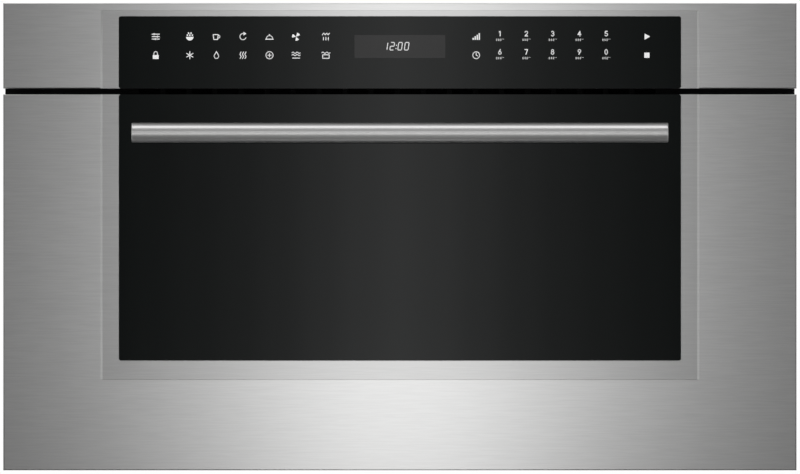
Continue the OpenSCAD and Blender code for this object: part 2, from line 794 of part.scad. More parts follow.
// Sprung hook: it rides over the catch in the interlock block
module latch_hook() {
    tip = hook_y + hook_reach;
    arm_low = hook_z - hook_eye_r;
    arm_high = hook_z + 3;
    nose_z = hook_z - 9;
    color([0.85, 0.85, 0.82]) {
        along_x(hook_x - hook_t / 2, hook_x + hook_t / 2) {
            translate([hook_y, hook_z]) circle(hook_eye_r);
            translate([hook_y, arm_low]) square([hook_reach - 2, arm_high - arm_low]);
            polygon([[tip - nose_d, arm_low], [tip - nose_d, nose_z], [tip - nose_d + 2.5, nose_z],
                [tip, arm_low], [tip, arm_high - 2], [tip - 2, arm_high], [tip - nose_d, arm_high]]);
        }
        rod_x(hook_x - hook_slot + fit, hook_x + hook_slot - fit, hook_y, hook_z, hook_eye_r - 0.5);
        rod_x(hook_x - hook_slot - ear_t, hook_x + hook_slot + ear_t, hook_y, hook_z, hook_pin_r);
    }
}

module latch_hook_left() {
    mirror([1, 0, 0]) latch_hook();
}

module latch_hook_right() {
    latch_hook();
}

// Plastic interlock block behind each latch slot, with its two switches
module interlock_blocks() {
    tip = hook_y + hook_reach;
    block_back = tip + 16;
    catch_back = tip - nose_d - 1.2;
    switch_h = 16;
    both_sides() {
        color(white_plastic) difference() {
            block(hook_x - block_half, hook_x + block_half, 0, block_back, hook_z - 32, hook_z + 18);
            latch_slot(-over, tip + 6);
        }
        color(white_plastic) block(hook_x - hook_slot, hook_x + hook_slot, catch_back - 10, catch_back,
            hook_z - hook_low, hook_z - 5);
        for (z = [hook_z - 30, hook_z - 8]) color([0.2, 0.2, 0.22]) difference() {
            block(hook_x + block_half, hook_x + block_half + switch_w, 4, 24, z, z + switch_h);
            for (y = [8, 20])
                rod_x(hook_x + block_half - over, hook_x + block_half + switch_w + over, y, z + 4, 1.2);
        }
    }
}

// Control panel sheet, fixed above the door
module control_frame() {
    color(brushed) difference() {
        union() {
            difference() {
                union() {
                    panel_form(front_w / 2, sheet_front_y, -flange_t, control_z0, front_z1, edge_r);
                    raised_form(control_z0, raise_z1, false, true, 0);
                }
                panel_form(front_w / 2 - skin_t, sheet_front_y + skin_t, over,
                    control_z0 + skin_t, front_z1 - skin_t, edge_r - skin_t / 2);
                raised_form(control_z0 + skin_t, raise_z1, false, true, skin_t);
            }
            // folded lips, fastened to the fixed front frame
            difference() {
                slab(front_w - skin_t, -flange_t - skin_t, -flange_t,
                    control_z0 + skin_t / 2, front_z1 - skin_t / 2);
                slab(front_w - 2 * (skin_t + lip_w), -flange_t - skin_t - over, 0,
                    0, front_z1 - skin_t - lip_w);
            }
            difference() {
                glass_return(control_z0 + skin_t, control_glass_z1, true);
                glass_cut(control_z0, control_glass_z1, true, false, 0);
            }
        }
        glass_cut(control_z0, control_glass_z1, true, false, glass_back_y);
    }
}

// Carrier behind the control glass for the display and the touch board
module control_carrier() {
    half = glass_w / 2 + 5;
    low = control_z0 + skin_t + fit;
    high = control_glass_z1 + 5;
    wall = 2;
    window_z = display_h / 2 + fit;
    color([0.12, 0.12, 0.12]) difference() {
        slab(2 * half, glass_back_y, glass_back_y + carrier_d, low, high);
        slab(2 * (half - wall), glass_back_y + wall, glass_back_y + carrier_d + over, low + wall, high - wall);
        slab(display_w + 2 * fit, glass_back_y - over, glass_back_y + wall + over,
            display_z - window_z, display_z + window_z);
    }
}

module display_module() {
    color([0.15, 0.16, 0.17]) slab(display_w, glass_back_y, glass_back_y + display_d,
        display_z - display_h / 2, display_z + display_h / 2);
}

// Touch and logic board, carried on the display's back and on six pillars
module control_board() {
    y = glass_back_y + display_d;
    low = control_z0 + skin_t + fit + 8;
    high = control_glass_z1 - 4;
    half = glass_w / 2 - 19;
    pillar_x = half - 15;
    board_t = 1.6;
    color([0.05, 0.3, 0.15]) {
        slab(2 * half, y, y + board_t, low, high);
        for (x = [-1, -0.5, 0.5, 1], z = [low + 6, high - 6])
            rod_y(glass_back_y + 2, y, x * pillar_x, z, 3);
        for (x = [-1.5, -0.5, 0.5, 1.5] * half / 2)
            block(x - 14, x + 14, y + board_t, y + 4, low + 14, low + 32);
    }
}

// Fixed front frame: carries the cavity, the case and the control panel, and is
// screwed to the cabinet through four holes that the open door uncovers
module front_frame() {
    half = front_w / 2 - flange_in;
    vent_x = cavity_w / 2 - 15;
    vent_z1 = control_z0 + 1;
    color(black_paint) difference() {
        union() {
            slab(2 * half, -flange_t, 0, front_z0 + 2, front_z1 - 2);
            // plate that turns the cooling air down to the slots and hides the inside
            along_x(-vent_x - 5, vent_x + 5) polygon([[-0.5, vent_z1 + 1], [-0.5, vent_z1 + 2],
                [deflector_d, vent_z1 + 2 - deflector_d], [deflector_d, vent_z1 + 1 - deflector_d]]);
        }
        along_y(-flange_t - over, over) cavity_section(0, cavity_z1);
        both_sides() {
            for (z = [cabinet_hole_z0, cabinet_hole_z1])
                rod_y(-flange_t - over, over, front_w / 2 - cabinet_hole_in, z, cabinet_hole_r);
            claw_gap(-flange_t - over, over, pivot_z - neck_below - claw_room);
            latch_slot(-flange_t - over, over);
        }
        slot_row(-vent_x, vent_x, 20, -flange_t - over, over, door_z1 - 3, vent_z1, 0.8);
    }
}

// Case: pan, one-piece cover for the sides and top, and back panel
side_screws = [for (i = [0:3]) [60 + i * (chassis_d - 125) / 3, pan_lip / 2 + 1]];
back_screws = [for (x = [-1, 1], i = [0:3]) [x * (inner_x - lip_w / 2), 40 + i * (chassis_h - 120) / 3]];
top_screws = [for (x = [-1, 0, 1]) [x * (inner_x - 131), chassis_h - sheet_t - lip_w / 2]];
screw_hole_r = case_screw_r + 0.1;
vent_h = 5;
vent_pitch = 12;

module base_pan() {
    floor_vent_pitch = 14;
    color(galvanised) difference() {
        slab(2 * inner_x, 0, case_back_y, 0, pan_lip);
        slab(2 * (inner_x - sheet_t), sheet_t, case_back_y - sheet_t, sheet_t, pan_lip + over);
        both_sides() block(hinge_x - 12, hinge_x + 8, -over, sheet_t + 0.01, sheet_t, pan_lip + over);
        for (p = side_screws) rod_x(-chassis_w, chassis_w, p[0], p[1], screw_hole_r);
        for (i = [0:7]) let (y = 70 + i * floor_vent_pitch)
            slot_row(-150, 150, 5, y, y + vent_h, -over, 2 * sheet_t, 0.75);
        for (i = [0:4]) let (y = chassis_d - 135 + i * floor_vent_pitch)
            slot_row(-180, -60, 2, y, y + vent_h, -over, 2 * sheet_t, 0.75);
    }
}

module outer_cover() {
    top = chassis_h;
    color(galvanised) difference() {
        union() {
            slab(chassis_w, 0, case_back_y, 0, top);
            cover_ribs(0);
        }
        difference() {
            union() {
                slab(2 * inner_x, -over, case_back_y + over, -over, top - sheet_t);
                cover_ribs(sheet_t);
            }
            // joining flanges at the front and the back
            difference() {
                for (y = [0, case_back_y - sheet_t]) slab(2 * inner_x, y, y + sheet_t, pan_lip, top - sheet_t);
                slab(2 * (inner_x - lip_w), -over, case_back_y + over, -over, top - sheet_t - lip_w);
            }
        }
        for (p = side_screws) rod_x(-chassis_w, chassis_w, p[0], p[1], screw_hole_r);
        for (p = concat(back_screws, top_screws))
            rod_y(case_back_y - sheet_t - over, case_back_y + over, p[0], p[1], screw_hole_r);
        // vents in both sides, and in the top over the magnetron
        for (i = [0:4], k = [0:2]) let (y = chassis_d - 145 + 36 * k, z = chassis_h - 90 + i * vent_pitch)
            block(-chassis_w, chassis_w, y, y + 28, z, z + vent_h);
        for (i = [0:6]) let (x = 70 + i * vent_pitch)
            block(x, x + vent_h, table_y - 45, table_y + 45, top - sheet_t - over, top + over);
    }
}

// Stiffening ribs pressed outwards in the cover's sides and top. For the sheet's
// inside, they are smaller by the sheet's thickness.
module cover_ribs(inside) {
    long = chassis_d - 260;
    for (z = [chassis_h * 0.25, chassis_h * 0.5])
        along_x(-chassis_w / 2 - rib_h + inside, chassis_w / 2 + rib_h - inside)
            rounded(rib_y + inside, rib_y + long - inside, z - rib_w / 2 + inside, z + rib_w / 2 - inside,
                rib_r - inside);
    for (x = [-1, 1]) along_z(chassis_h / 2, chassis_h + rib_h - inside)
        rounded(x * rib_x - rib_w / 2 + inside, x * rib_x + rib_w / 2 - inside,
            rib_y + inside, rib_y + long - inside, rib_r - inside);
}

module back_panel() {
    color(galvanised) difference() {
        slab(chassis_w, case_back_y, chassis_d, 0, chassis_h);
        for (p = concat(back_screws, top_screws))
            rod_y(case_back_y - over, chassis_d + over, p[0], p[1], screw_hole_r);
        rod_y(case_back_y - over, chassis_d + over, inlet_x, inlet_z, inlet_r + 0.2);
        // vents behind the blower and behind the fan motor
        for (i = [0:4]) back_vents(blower_x - 60, blower_x + 120, 5, chassis_h - 80 + i * vent_pitch);
        for (i = [0:6]) back_vents(-72, 72, 4, cavity_mid_z - 37 + i * vent_pitch);
    }
}

module back_vents(x0, x1, count, z) {
    slot_row(x0, x1, count, case_back_y - over, chassis_d + over, z, z + vent_h, 0.75);
}

module pan_screw() {
    head_r = 3.6;
    head_h = 1.4;
    dome_h = 0.8;
    shank = 6;
    difference() {
        union() {
            cylinder(h = head_h, r = head_r);
            translate([0, 0, head_h]) cylinder(h = dome_h, r1 = head_r, r2 = head_r * 2 / 3);
        }
        for (a = [0, 90]) rotate([0, 0, a]) translate([-head_r / 2, -0.4, 1]) cube([head_r, 0.8, 2]);
    }
    translate([0, 0, -shank]) cylinder(h = shank, r = case_screw_r);
}

module case_screws() {
    color([0.75, 0.75, 0.76]) {
        for (p = concat(back_screws, top_screws))
            translate([p[0], chassis_d, p[1]]) rotate([-90, 0, 0]) pan_screw();
        both_sides() for (p = side_screws)
            translate([chassis_w / 2, p[0], p[1]]) rotate([0, 90, 0]) pan_screw();
    }
}

// Cavity: floor and side walls bent from one sheet, then ceiling and back
module cavity_section(grow, top) {
    half = cavity_w / 2 + grow;
    r = floor_bend_r + grow;
    translate([-half, cavity_floor_z + floor_bend_r]) square([2 * half, top - cavity_floor_z - floor_bend_r]);
    translate([-half + r, cavity_floor_z - grow]) square([2 * (half - r), 2 * floor_bend_r]);
    for (x = [-half + r, half - r]) translate([x, cavity_floor_z - grow + r]) circle(r);
}

module cavity_wrap() {
    under = cavity_floor_z - 3;
    color(cavity_steel) difference() {
        union() {
            along_y(0, cavity_d) cavity_section(sheet_t, cavity_z1);
            along_y(0, sheet_t) cavity_section(lip_w, cavity_z1);
            slab(cavity_w + 2 * lip_w, 0, cavity_d, cavity_z1 - sheet_t, cavity_z1);
        }
        // the inside, which leaves the raised track for the rollers
        difference() {
            along_y(-over, cavity_d + over) cavity_section(0, cavity_z1 + over);
            rod_z(cavity_floor_z - over, track_z, 0, table_y, track_r + track_half);
        }
        rod_z(cavity_floor_z, track_z + over, 0, table_y, track_r - track_half);
        difference() {
            rod_z(under, track_z - sheet_t, 0, table_y, track_r + track_half - sheet_t);
            rod_z(under - over, track_z, 0, table_y, track_r - track_half + sheet_t);
        }
        rod_z(under, track_z + over, 0, table_y, table_shaft_r + 4);
        for (i = [-3:3], j = [-3:3]) rod_x(cavity_w / 2 - over, cavity_w / 2 + sheet_t + over,
            lamp_y + 6 * i, lamp_z + 6 * j, 1.6, $fn = 16);
    }
}

module cavity_ceiling() {
    outer = grill_runs[3];
    color(cavity_steel) difference() {
        union() {
            slab(cavity_w + 2 * lip_w, 0, cavity_d, cavity_z1, tray_z);
            // hangers for the grill element
            grill_hangers() block(-7, 7, 0, 1.5, grill_z - heater_d / 2 - 2, cavity_z1);
        }
        grill_hangers() rod_y(-over, 3, 0, grill_z, heater_d / 2 + 0.25);
        slab(guide_w - 2, table_y - guide_d / 2 + 1, table_y + guide_d / 2 - 1,
            cavity_z1 - over, tray_z + over);
        for (x = [-outer, outer])
            rod_z(cavity_z1 - over, tray_z + over, x, grill_rear_y + grill_leg, heater_d / 2 + fit);
    }
}

module grill_hangers() {
    for (x = [-1, 1], n = [0, 3], y = hanger_y) translate([x * grill_runs[n], y, 0]) children();
}

// Holes on rings: count grows with the radius
module hole_disc(x, z, rings, pitch, r, y0, y1) {
    rod_y(y0, y1, x, z, r, $fn = 16);
    for (i = [1:rings], k = [0:6 * i - 1]) let (a = 60 * k / i)
        rod_y(y0, y1, x + i * pitch * cos(a), z + i * pitch * sin(a), r, $fn = 16);
}

module cavity_back() {
    hole_pitch = 9;
    color(cavity_steel) difference() {
        along_y(cavity_d, chamber_y) rounded(-cavity_w / 2 - lip_w, cavity_w / 2 + lip_w,
            cavity_floor_z - lip_w, tray_z, 6);
        // air goes in through the middle and comes out at both sides
        hole_disc(0, cavity_mid_z, 5, hole_pitch, 2, cavity_d - over, chamber_y + over);
        for (s = [-1, 1], i = [0:3], j = [-4:4]) rod_y(cavity_d - over, chamber_y + over,
            s * (96 + hole_pitch * i), cavity_mid_z + hole_pitch * j, 2, $fn = 16);
        rod_y(cavity_d - over, chamber_y + over, sensor_x, sensor_z, 2.8);
    }
}

module chamber_form(grow, y0, y1) {
    half = chamber_w / 2 + grow;
    tall = chamber_h / 2 + grow;
    along_y(y0, y1) rounded(-half, half, cavity_mid_z - tall, cavity_mid_z + tall, chamber_r + grow);
}

heater_exit = [for (s = [-1, 1]) [s * heater_leg_x, cavity_mid_z - sqrt(ring_r ^ 2 - heater_leg_x ^ 2)]];
module fan_chamber() {
    back = chamber_back_y;
    color([0.6, 0.62, 0.62]) difference() {
        union() {
            chamber_form(0, chamber_y, back);
            chamber_form(min(lip_w, (cavity_h - chamber_h) / 2), chamber_y, chamber_y + sheet_t);
        }
        chamber_form(-sheet_t, chamber_y - over, back - sheet_t);
        rod_y(back - 3, back + 3, 0, cavity_mid_z, fan_shaft_r + 3);
        for (p = heater_exit) rod_y(back - 3, back + 3, p[0], p[1], heater_d / 2 + fit);
    }
}

module convection_heater() {
    y = chamber_y + 25;
    end_y = chamber_back_y + 14;
    turn = 28;
    spread = asin(heater_leg_x / ring_r);
    left = heater_exit[0];
    right = heater_exit[1];
    path = concat(
        [[right[0], end_y, right[1]], [right[0], y + 8, right[1]]],
        [for (i = [1:turn - 1]) let (a = 270 + spread + (360 - 2 * spread) * i / turn)
            [ring_r * cos(a), y, cavity_mid_z + ring_r * sin(a)]],
        [[left[0], y + 8, left[1]], [left[0], end_y, left[1]]]);
    color([0.3, 0.3, 0.3]) sweep(path, [0, 0, 1], heater_d / 2, 8);
}

module convection_fan() {
    back = chamber_back_y - sheet_t - 5;
    front = chamber_y + 10;
    hub_r = 12;
    blade_t = 1.2;
    blade_r = 26;
    color([0.7, 0.7, 0.7]) {
        rod_y(back - blade_t, back, 0, cavity_mid_z, fan_r);
        rod_y(front + 8, back, 0, cavity_mid_z, hub_r);
        rod_y(back - 2, chamber_back_y + motor_gap + motor_len - 4, 0, cavity_mid_z, fan_shaft_r);
        for (k = [0:7]) translate([0, 0, cavity_mid_z]) rotate([0, 45 * k, 0])
            translate([blade_r, front, -blade_t / 2]) rotate([0, 14, 0])
                cube([fan_r - blade_r - 2, back - front, blade_t]);
    }
}

module convection_motor() {
    y0 = chamber_back_y + motor_gap;
    y1 = y0 + motor_len;
    core_y0 = y0 + 12;
    core_y1 = y1 - 12;
    core_half = 32;
    bolt = 26;
    color([0.4, 0.4, 0.42]) difference() {
        union() {
            rod_y(y0, core_y0, 0, cavity_mid_z, 30);
            slab(2 * core_half, core_y0, core_y1, cavity_mid_z - core_half, cavity_mid_z + core_half);
            rod_y(core_y1, y1, 0, cavity_mid_z, 30);
            for (x = [-20, 20], z = [-18, 18]) rod_y(chamber_back_y, y0 + 2, x, cavity_mid_z + z, 3);
        }
        rod_y(y0 - over, y1 + over, 0, cavity_mid_z, fan_shaft_r + run);
        for (x = [-bolt, bolt], z = [-bolt, bolt])
            rod_y(core_y0 - over, core_y1 + over, x, cavity_mid_z + z, 2);
    }
}

// Grill element: one tube that runs to and fro under the ceiling
module grill_element() {
    g = grill_runs;
    f = grill_front_y;
    b = grill_rear_y;
    up = tray_z + 12;
    half = [[g[3], b + grill_leg, up], [g[3], b + grill_leg, grill_z], [g[3], f, grill_z], [g[2], f, grill_z],
        [g[2], b, grill_z], [g[1], b, grill_z], [g[1], f, grill_z], [g[0], f, grill_z], [g[0], b, grill_z]];
    flip = [for (i = [8:-1:0]) [-half[i][0], half[i][1], half[i][2]]];
    color([0.25, 0.25, 0.25])
        sweep(rounded_path(concat(half, flip), grill_bend), [1, 0, 0], heater_d / 2, 8);
}

module waveguide() {
    y0 = table_y - guide_d / 2;
    y1 = table_y + guide_d / 2;
    top = tray_z + guide_h;
    color([0.7, 0.7, 0.68]) difference() {
        union() {
            slab(guide_w, y0, y1, tray_z, top);
            slab(guide_w + 2 * guide_flange, y0 - guide_flange, y1 + guide_flange, tray_z, tray_z + sheet_t);
        }
        slab(guide_w - 2 * sheet_t, y0 + sheet_t, y1 - sheet_t, tray_z - over, top - sheet_t);
        rod_x(0, guide_w, table_y, antenna_z, 12);
    }
}

module waveguide_cover() {
    margin = 9;
    color([0.82, 0.78, 0.66]) slab(guide_w + 2 * margin, table_y - guide_d / 2 - margin,
        table_y + guide_d / 2 + margin, cavity_z1 - 0.8, cavity_z1);
}

// Magnetron: mounting plate, magnets, cooling fins on the anode, yoke and filter box
module magnetron() {
    x = guide_w / 2;
    plate_t = 1.5;
    anode_r = 19;
    magnet_r = 26;
    magnet_t = 10;
    yoke_x = x + 62;
    yoke_half = 40;
    yoke_t = 2;
    fins = 8;
    fin_t = 0.8;
    fin_pitch = 4.6;
    filter_d = 30;
    color([0.7, 0.72, 0.72]) {
        // antenna and shaft, through the guide's wall
        rod_x(x - 24, yoke_x, table_y, antenna_z, 8);
        block(x, x + plate_t, table_y - 46, table_y + 46, antenna_z - 40, antenna_z + 40);
        for (s = [x + plate_t, yoke_x - yoke_t - magnet_t])
            rod_x(s, s + magnet_t, table_y, antenna_z, magnet_r);
        rod_x(x + 8, yoke_x - 8, table_y, antenna_z, anode_r);
        for (i = [0:fins - 1]) let (s = x + 14 + fin_pitch * i)
            block(s, s + fin_t, table_y - 44, table_y + 44, antenna_z - 30, antenna_z + 30);
        for (z = [antenna_z - yoke_half + 2, antenna_z + yoke_half - 4])
            block(x + plate_t, yoke_x, table_y - yoke_half, table_y + yoke_half, z, z + yoke_t);
        block(yoke_x - yoke_t, yoke_x, table_y - yoke_half, table_y + yoke_half,
            antenna_z - 38, antenna_z + 38);
        block(yoke_x, yoke_x + filter_d, table_y - 34, table_y + 34, antenna_z - 28, antenna_z + 28);
    }
}

// Transformer on the base pan, with its laminated core between two windings
module hv_transformer() {
    x = power_x;
    y = power_y;
    z = sheet_t;
    core_x = 48;
    core_y = 28;
    core_h = 80;
    foot_t = 2;
    leg = 16;
    coil_x = 31.7;
    coil_y = 42;
    coil_h = 24.5;
    window_z = z + leg;
    color([0.35, 0.33, 0.32]) {
        difference() {
            block(x - core_x, x + core_x, y - core_y, y + core_y, z + foot_t, z + foot_t + core_h);
            for (s = [-1, 1]) block(x + s * 24 - leg / 2, x + s * 24 + leg / 2, y - core_y - over,
                y + core_y + over, window_z, window_z + 52);
        }
        block(x - core_x - 10, x + core_x + 10, y - core_y, y + core_y, z, z + foot_t);
    }
    // the two windings, round the middle leg
    color([0.75, 0.4, 0.15]) for (s = [fit, 27]) difference() {
        block(x - coil_x, x + coil_x, y - coil_y, y + coil_y, window_z + s, window_z + s + coil_h);
        block(x - leg - 0.2, x + leg + 0.2, y - core_y - 0.2, y + core_y + 0.2, z, z + core_h + 10);
    }
}

module hv_capacitor() {
    x = power_x - 110;
    y = power_y;
    half_x = 26;
    half_y = 17;
    top = 92;
    band_t = 2;
    color([0.75, 0.76, 0.77]) {
        along_z(sheet_t, top) rounded(x - half_x, x + half_x, y - half_y, y + half_y, half_y - 1);
        for (s = [-10, 10]) block(x + s - 3, x + s + 3, y - 0.4, y + 0.4, top, top + 10);
    }
    color([0.6, 0.6, 0.6]) difference() {
        along_z(30, 44) capacitor_band(x, y, half_x + band_t, half_y + band_t);
        along_z(30 - over, 44 + over) capacitor_band(x, y, half_x + 0.1, half_y + 0.1);
    }
}

module capacitor_band(x, y, half_x, half_y) {
    rounded(x - half_x, x + half_x, y - half_y, y + half_y, half_y - 1);
}

module component_tray() {
    y0 = chamber_y;
    y1 = case_back_y - sheet_t;
    color(galvanised) difference() {
        slab(2 * inner_x, y0, y1, tray_z - lip_w, tray_z);
        slab(2 * (inner_x - sheet_t), y0 - over, y1 - sheet_t, tray_z - lip_w - over, tray_z - sheet_t);
        for (i = [0:3]) let (y = y0 + 40 + 24 * i) slab(200, y, y + 10, tray_z - 2 * sheet_t, tray_z + over);
    }
}

module power_board() {
    x0 = power_x - 100;
    x1 = power_x + 40;
    y0 = power_y - 60;
    y1 = power_y + 50;
    z = tray_z + 8;
    board_t = 1.6;
    top = z + board_t;
    color([0.1, 0.35, 0.2]) {
        block(x0, x1, y0, y1, z, top);
        for (x = [x0 + 6, x1 - 6], y = [y0 + 6, y1 - 6]) rod_z(tray_z, z, x, y, 3);
        for (i = [0:3]) block(x0 + 14 + 30 * i, x0 + 34 + 30 * i, y0 + 12, y0 + 30, top, z + 18);
        for (i = [0:2]) rod_z(top, z + 30, x0 + 30 + 34 * i, y1 - 34, 11);
    }
}

// Centrifugal blower: scroll, wheel and motor, on the component tray
outlet_reach = 64;
outlet_h = 42;
module blower_outline(wall) {
    translate([blower_y, blower_z]) {
        circle(scroll_r - wall);
        translate([-outlet_reach - wall, scroll_r - outlet_h + wall])
            square([outlet_reach + wall, outlet_h - 2 * wall]);
    }
}

module blower_housing() {
    x0 = blower_x - blower_w / 2;
    x1 = blower_x + blower_w / 2;
    color([0.25, 0.26, 0.27]) difference() {
        union() {
            along_x(x0, x1) blower_outline(0);
            block(x0, x1, blower_y - 30, blower_y + 30, tray_z, blower_z - 20);
        }
        along_x(x0 + scroll_wall, x1 - scroll_wall) blower_outline(scroll_wall);
        rod_x(x0 - over, x0 + 2 * scroll_wall, blower_y, blower_z, wheel_r - blade_span);
        rod_x(x1 - 2 * scroll_wall, x1 + over, blower_y, blower_z, blower_hub_r);
    }
}

module blower_wheel() {
    x0 = blower_x - blower_w / 2 + 4;
    x1 = blower_x + blower_w / 2 - 4;
    disc_t = 2;
    blades = 20;
    color([0.15, 0.15, 0.16]) {
        rod_x(x1 - disc_t, x1, blower_y, blower_z, wheel_r);
        difference() {
            rod_x(x0, x0 + disc_t, blower_y, blower_z, wheel_r);
            rod_x(x0 - over, x0 + disc_t + over, blower_y, blower_z, wheel_r - blade_span);
        }
        for (k = [0:blades - 1]) translate([0, blower_y, blower_z]) rotate([360 * k / blades, 0, 0])
            translate([x0 + disc_t / 2, wheel_r - blade_span + 0.6, 0]) rotate([30, 0, 0])
                cube([x1 - x0 - disc_t, blade_span - 1.6, 1]);
        rod_x(x1 - 22, x1, blower_y, blower_z, blower_hub_r);
        rod_x(x1 - disc_t, blower_x + blower_w / 2 + blower_motor_len - 4, blower_y, blower_z, blower_shaft_r);
    }
}

module blower_motor() {
    x0 = blower_x + blower_w / 2;
    x1 = x0 + blower_motor_len;
    color([0.42, 0.42, 0.44]) difference() {
        union() {
            rod_x(x0, x0 + 4, blower_y, blower_z, 30);
            rod_x(x0, x1, blower_y, blower_z, 24);
        }
        rod_x(x0 - over, x1 + over, blower_y, blower_z, blower_shaft_r + run);
    }
}

// Lamp house on the right-hand cavity wall, with its bulb
module oven_lamp() {
    x0 = cavity_w / 2 + sheet_t;
    x1 = x0 + lamp_house_d;
    half = lamp_size / 2;
    inside = half - sheet_t;
    bulb_r = 6.5;
    color(galvanised) difference() {
        block(x0, x1, lamp_y - half, lamp_y + half, lamp_z - half, lamp_z + half);
        block(x0 - over, x1 - sheet_t, lamp_y - inside, lamp_y + inside, lamp_z - inside, lamp_z + inside);
    }
    color([0.95, 0.93, 0.85]) {
        rod_x(x0 + 26, x1 - sheet_t, lamp_y, lamp_z, 9);
        rod_x(x0 + 12, x0 + 26, lamp_y, lamp_z, bulb_r);
        translate([x0 + 12, lamp_y, lamp_z]) sphere(bulb_r);
    }
}

module temperature_sensor() {
    plate_y = chamber_y + 1.5;
    color([0.7, 0.7, 0.7]) {
        rod_y(cavity_d - 55, chamber_y + 8, sensor_x, sensor_z, 2.4);
        block(sensor_x - 12, sensor_x + 12, chamber_y, plate_y, sensor_z - 8, sensor_z + 8);
        rod_y(plate_y, chamber_y + 14, sensor_x, sensor_z, 5);
    }
}

// Turntable
module turntable_motor() {
    top = cavity_floor_z - sheet_t;
    height = 19;
    color([0.7, 0.71, 0.7]) difference() {
        union() {
            rod_z(top - height, top, 0, table_y, 25);
            slab(66, table_y - 7, table_y + 7, top - 1.2, top);
        }
        rod_z(top - height + 3, top + over, 0, table_y, table_shaft_r + run);
        for (x = [-29, 29]) rod_z(top - 3, top + over, x, table_y, 2);
    }
}

module lobes(r, lobe) {
    circle(r);
    for (a = [0, 120, 240]) rotate([0, 0, a]) translate([r, 0]) circle(lobe);
}

module turntable_coupler() {
    base = cavity_floor_z + 1;
    lobe_z = base + 6;
    color([0.85, 0.85, 0.83]) translate([0, table_y, 0]) {
        rod_z(cavity_floor_z - 15, base + 2, 0, 0, table_shaft_r);
        rod_z(base, lobe_z, 0, 0, coupler_r);
        along_z(lobe_z, tray_under_z + 1) lobes(lobe_ring, lobe_r);
    }
}

module turntable_tray() {
    r = tray_d / 2;
    z = tray_under_z;
    color([0.9, 0.9, 0.88]) translate([0, table_y, 0]) difference() {
        union() {
            translate([0, 0, z]) rotate_extrude($fn = 96) polygon([[0, 0], [r - 12, 0], [r - 2, tray_rim_h - 2],
                [r, tray_rim_h + tray_t - 2], [r - 1, tray_rim_h + tray_t], [r - 4, tray_rim_h + tray_t],
                [r - 7, tray_rim_h], [r - 15, tray_t], [0, tray_t]]);
            rod_z(cavity_floor_z + 8, z + 1, 0, 0, tray_boss_r);
        }
        along_z(cavity_floor_z + 7, z + 1.3) lobes(lobe_ring + fit, lobe_r + fit);
    }
}

// Spider that carries the three rollers; it turns at half the tray's speed
module roller_spider() {
    z = roller_z;
    inner = track_r - roller_w / 2 - 1;
    outer = inner + roller_w + 2;
    half = 3;
    color([0.8, 0.8, 0.78]) translate([0, table_y, 0]) difference() {
        union() {
            rod_z(z - half, z + half, 0, 0, 26);
            for (a = [90, 210, 330]) rotate([0, 0, a]) {
                block(20, inner, -5, 5, z - half, z + half);
                rod_x(inner - 1, outer + 2, 0, z, axle_r);
                rod_x(outer, outer + 2, 0, z, axle_r + 1.2);
            }
        }
        rod_z(z - half - over, z + half + over, 0, 0, tray_boss_r + 2.5);
    }
}

module roller(a) {
    x0 = track_r - roller_w / 2;
    color([0.92, 0.92, 0.9]) translate([0, table_y, 0]) rotate([0, 0, a]) difference() {
        rod_x(x0, x0 + roller_w, 0, roller_z, roller_r);
        rod_x(x0 - 1, x0 + roller_w + 1, 0, roller_z, axle_r + run);
    }
}

// Gland for the supply conduit, with its terminal box inside the back panel
module power_inlet() {
    box_x = 45;
    box_z = 32;
    box_y = case_back_y - 50;
    color([0.7, 0.7, 0.7]) difference() {
        union() {
            rod_y(case_back_y - inlet_reach, chassis_d + inlet_reach, inlet_x, inlet_z, inlet_r);
            translate([inlet_x, chassis_d + 5, inlet_z]) rotate([90, 0, 0]) cylinder(h = 5, r = 17, $fn = 6);
        }
        rod_y(case_back_y - inlet_reach - over, chassis_d + inlet_reach + over, inlet_x, inlet_z, inlet_bore_r);
    }
    color([0.6, 0.62, 0.63]) difference() {
        block(inlet_x - box_x, inlet_x + box_x, box_y, case_back_y, inlet_z - box_z, inlet_z + box_z);
        block(inlet_x - box_x + 1, inlet_x + box_x - 1, box_y + 1, case_back_y - 1,
            inlet_z - box_z + 1, inlet_z + box_z - 1);
        rod_y(case_back_y - 3, case_back_y + over, inlet_x, inlet_z, inlet_r + 0.2);
    }
}

door_skin();
door_glass();
choke_frame();
choke_cover();
window_screen();
inner_glass();
door_inner_panel();
handle_tube();
handle_end_caps();
handle_posts();
handle_screws();
hinge_boxes();
hinge_pins();
hinge_spring_left();
hinge_spring_right();
plunger_left();
plunger_right();
latch_hook_left();
latch_hook_right();
control_frame();
control_glass();
control_carrier();
display_module();
control_board();
front_frame();
base_pan();
outer_cover();
back_panel();
case_screws();
hinge_claws();
hinge_receivers();
interlock_blocks();
cavity_wrap();
cavity_ceiling();
cavity_back();
fan_chamber();
convection_heater();
convection_fan();
convection_motor();
grill_element();
waveguide();
waveguide_cover();
magnetron();
hv_transformer();
hv_capacitor();
component_tray();
power_board();
blower_housing();
blower_wheel();
blower_motor();
oven_lamp();
temperature_sensor();
turntable_motor();
turntable_coupler();
turntable_tray();
roller_spider();
roller(90);  // roller_1
roller(210);  // roller_2
roller(330);  // roller_3
power_inlet();
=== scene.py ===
"""Looks of the built-in speed oven: studio, camera, finishes, printed key marks and the lit clock."""

import json
import math

import bmesh
import bpy
from mathutils import Matrix, Vector


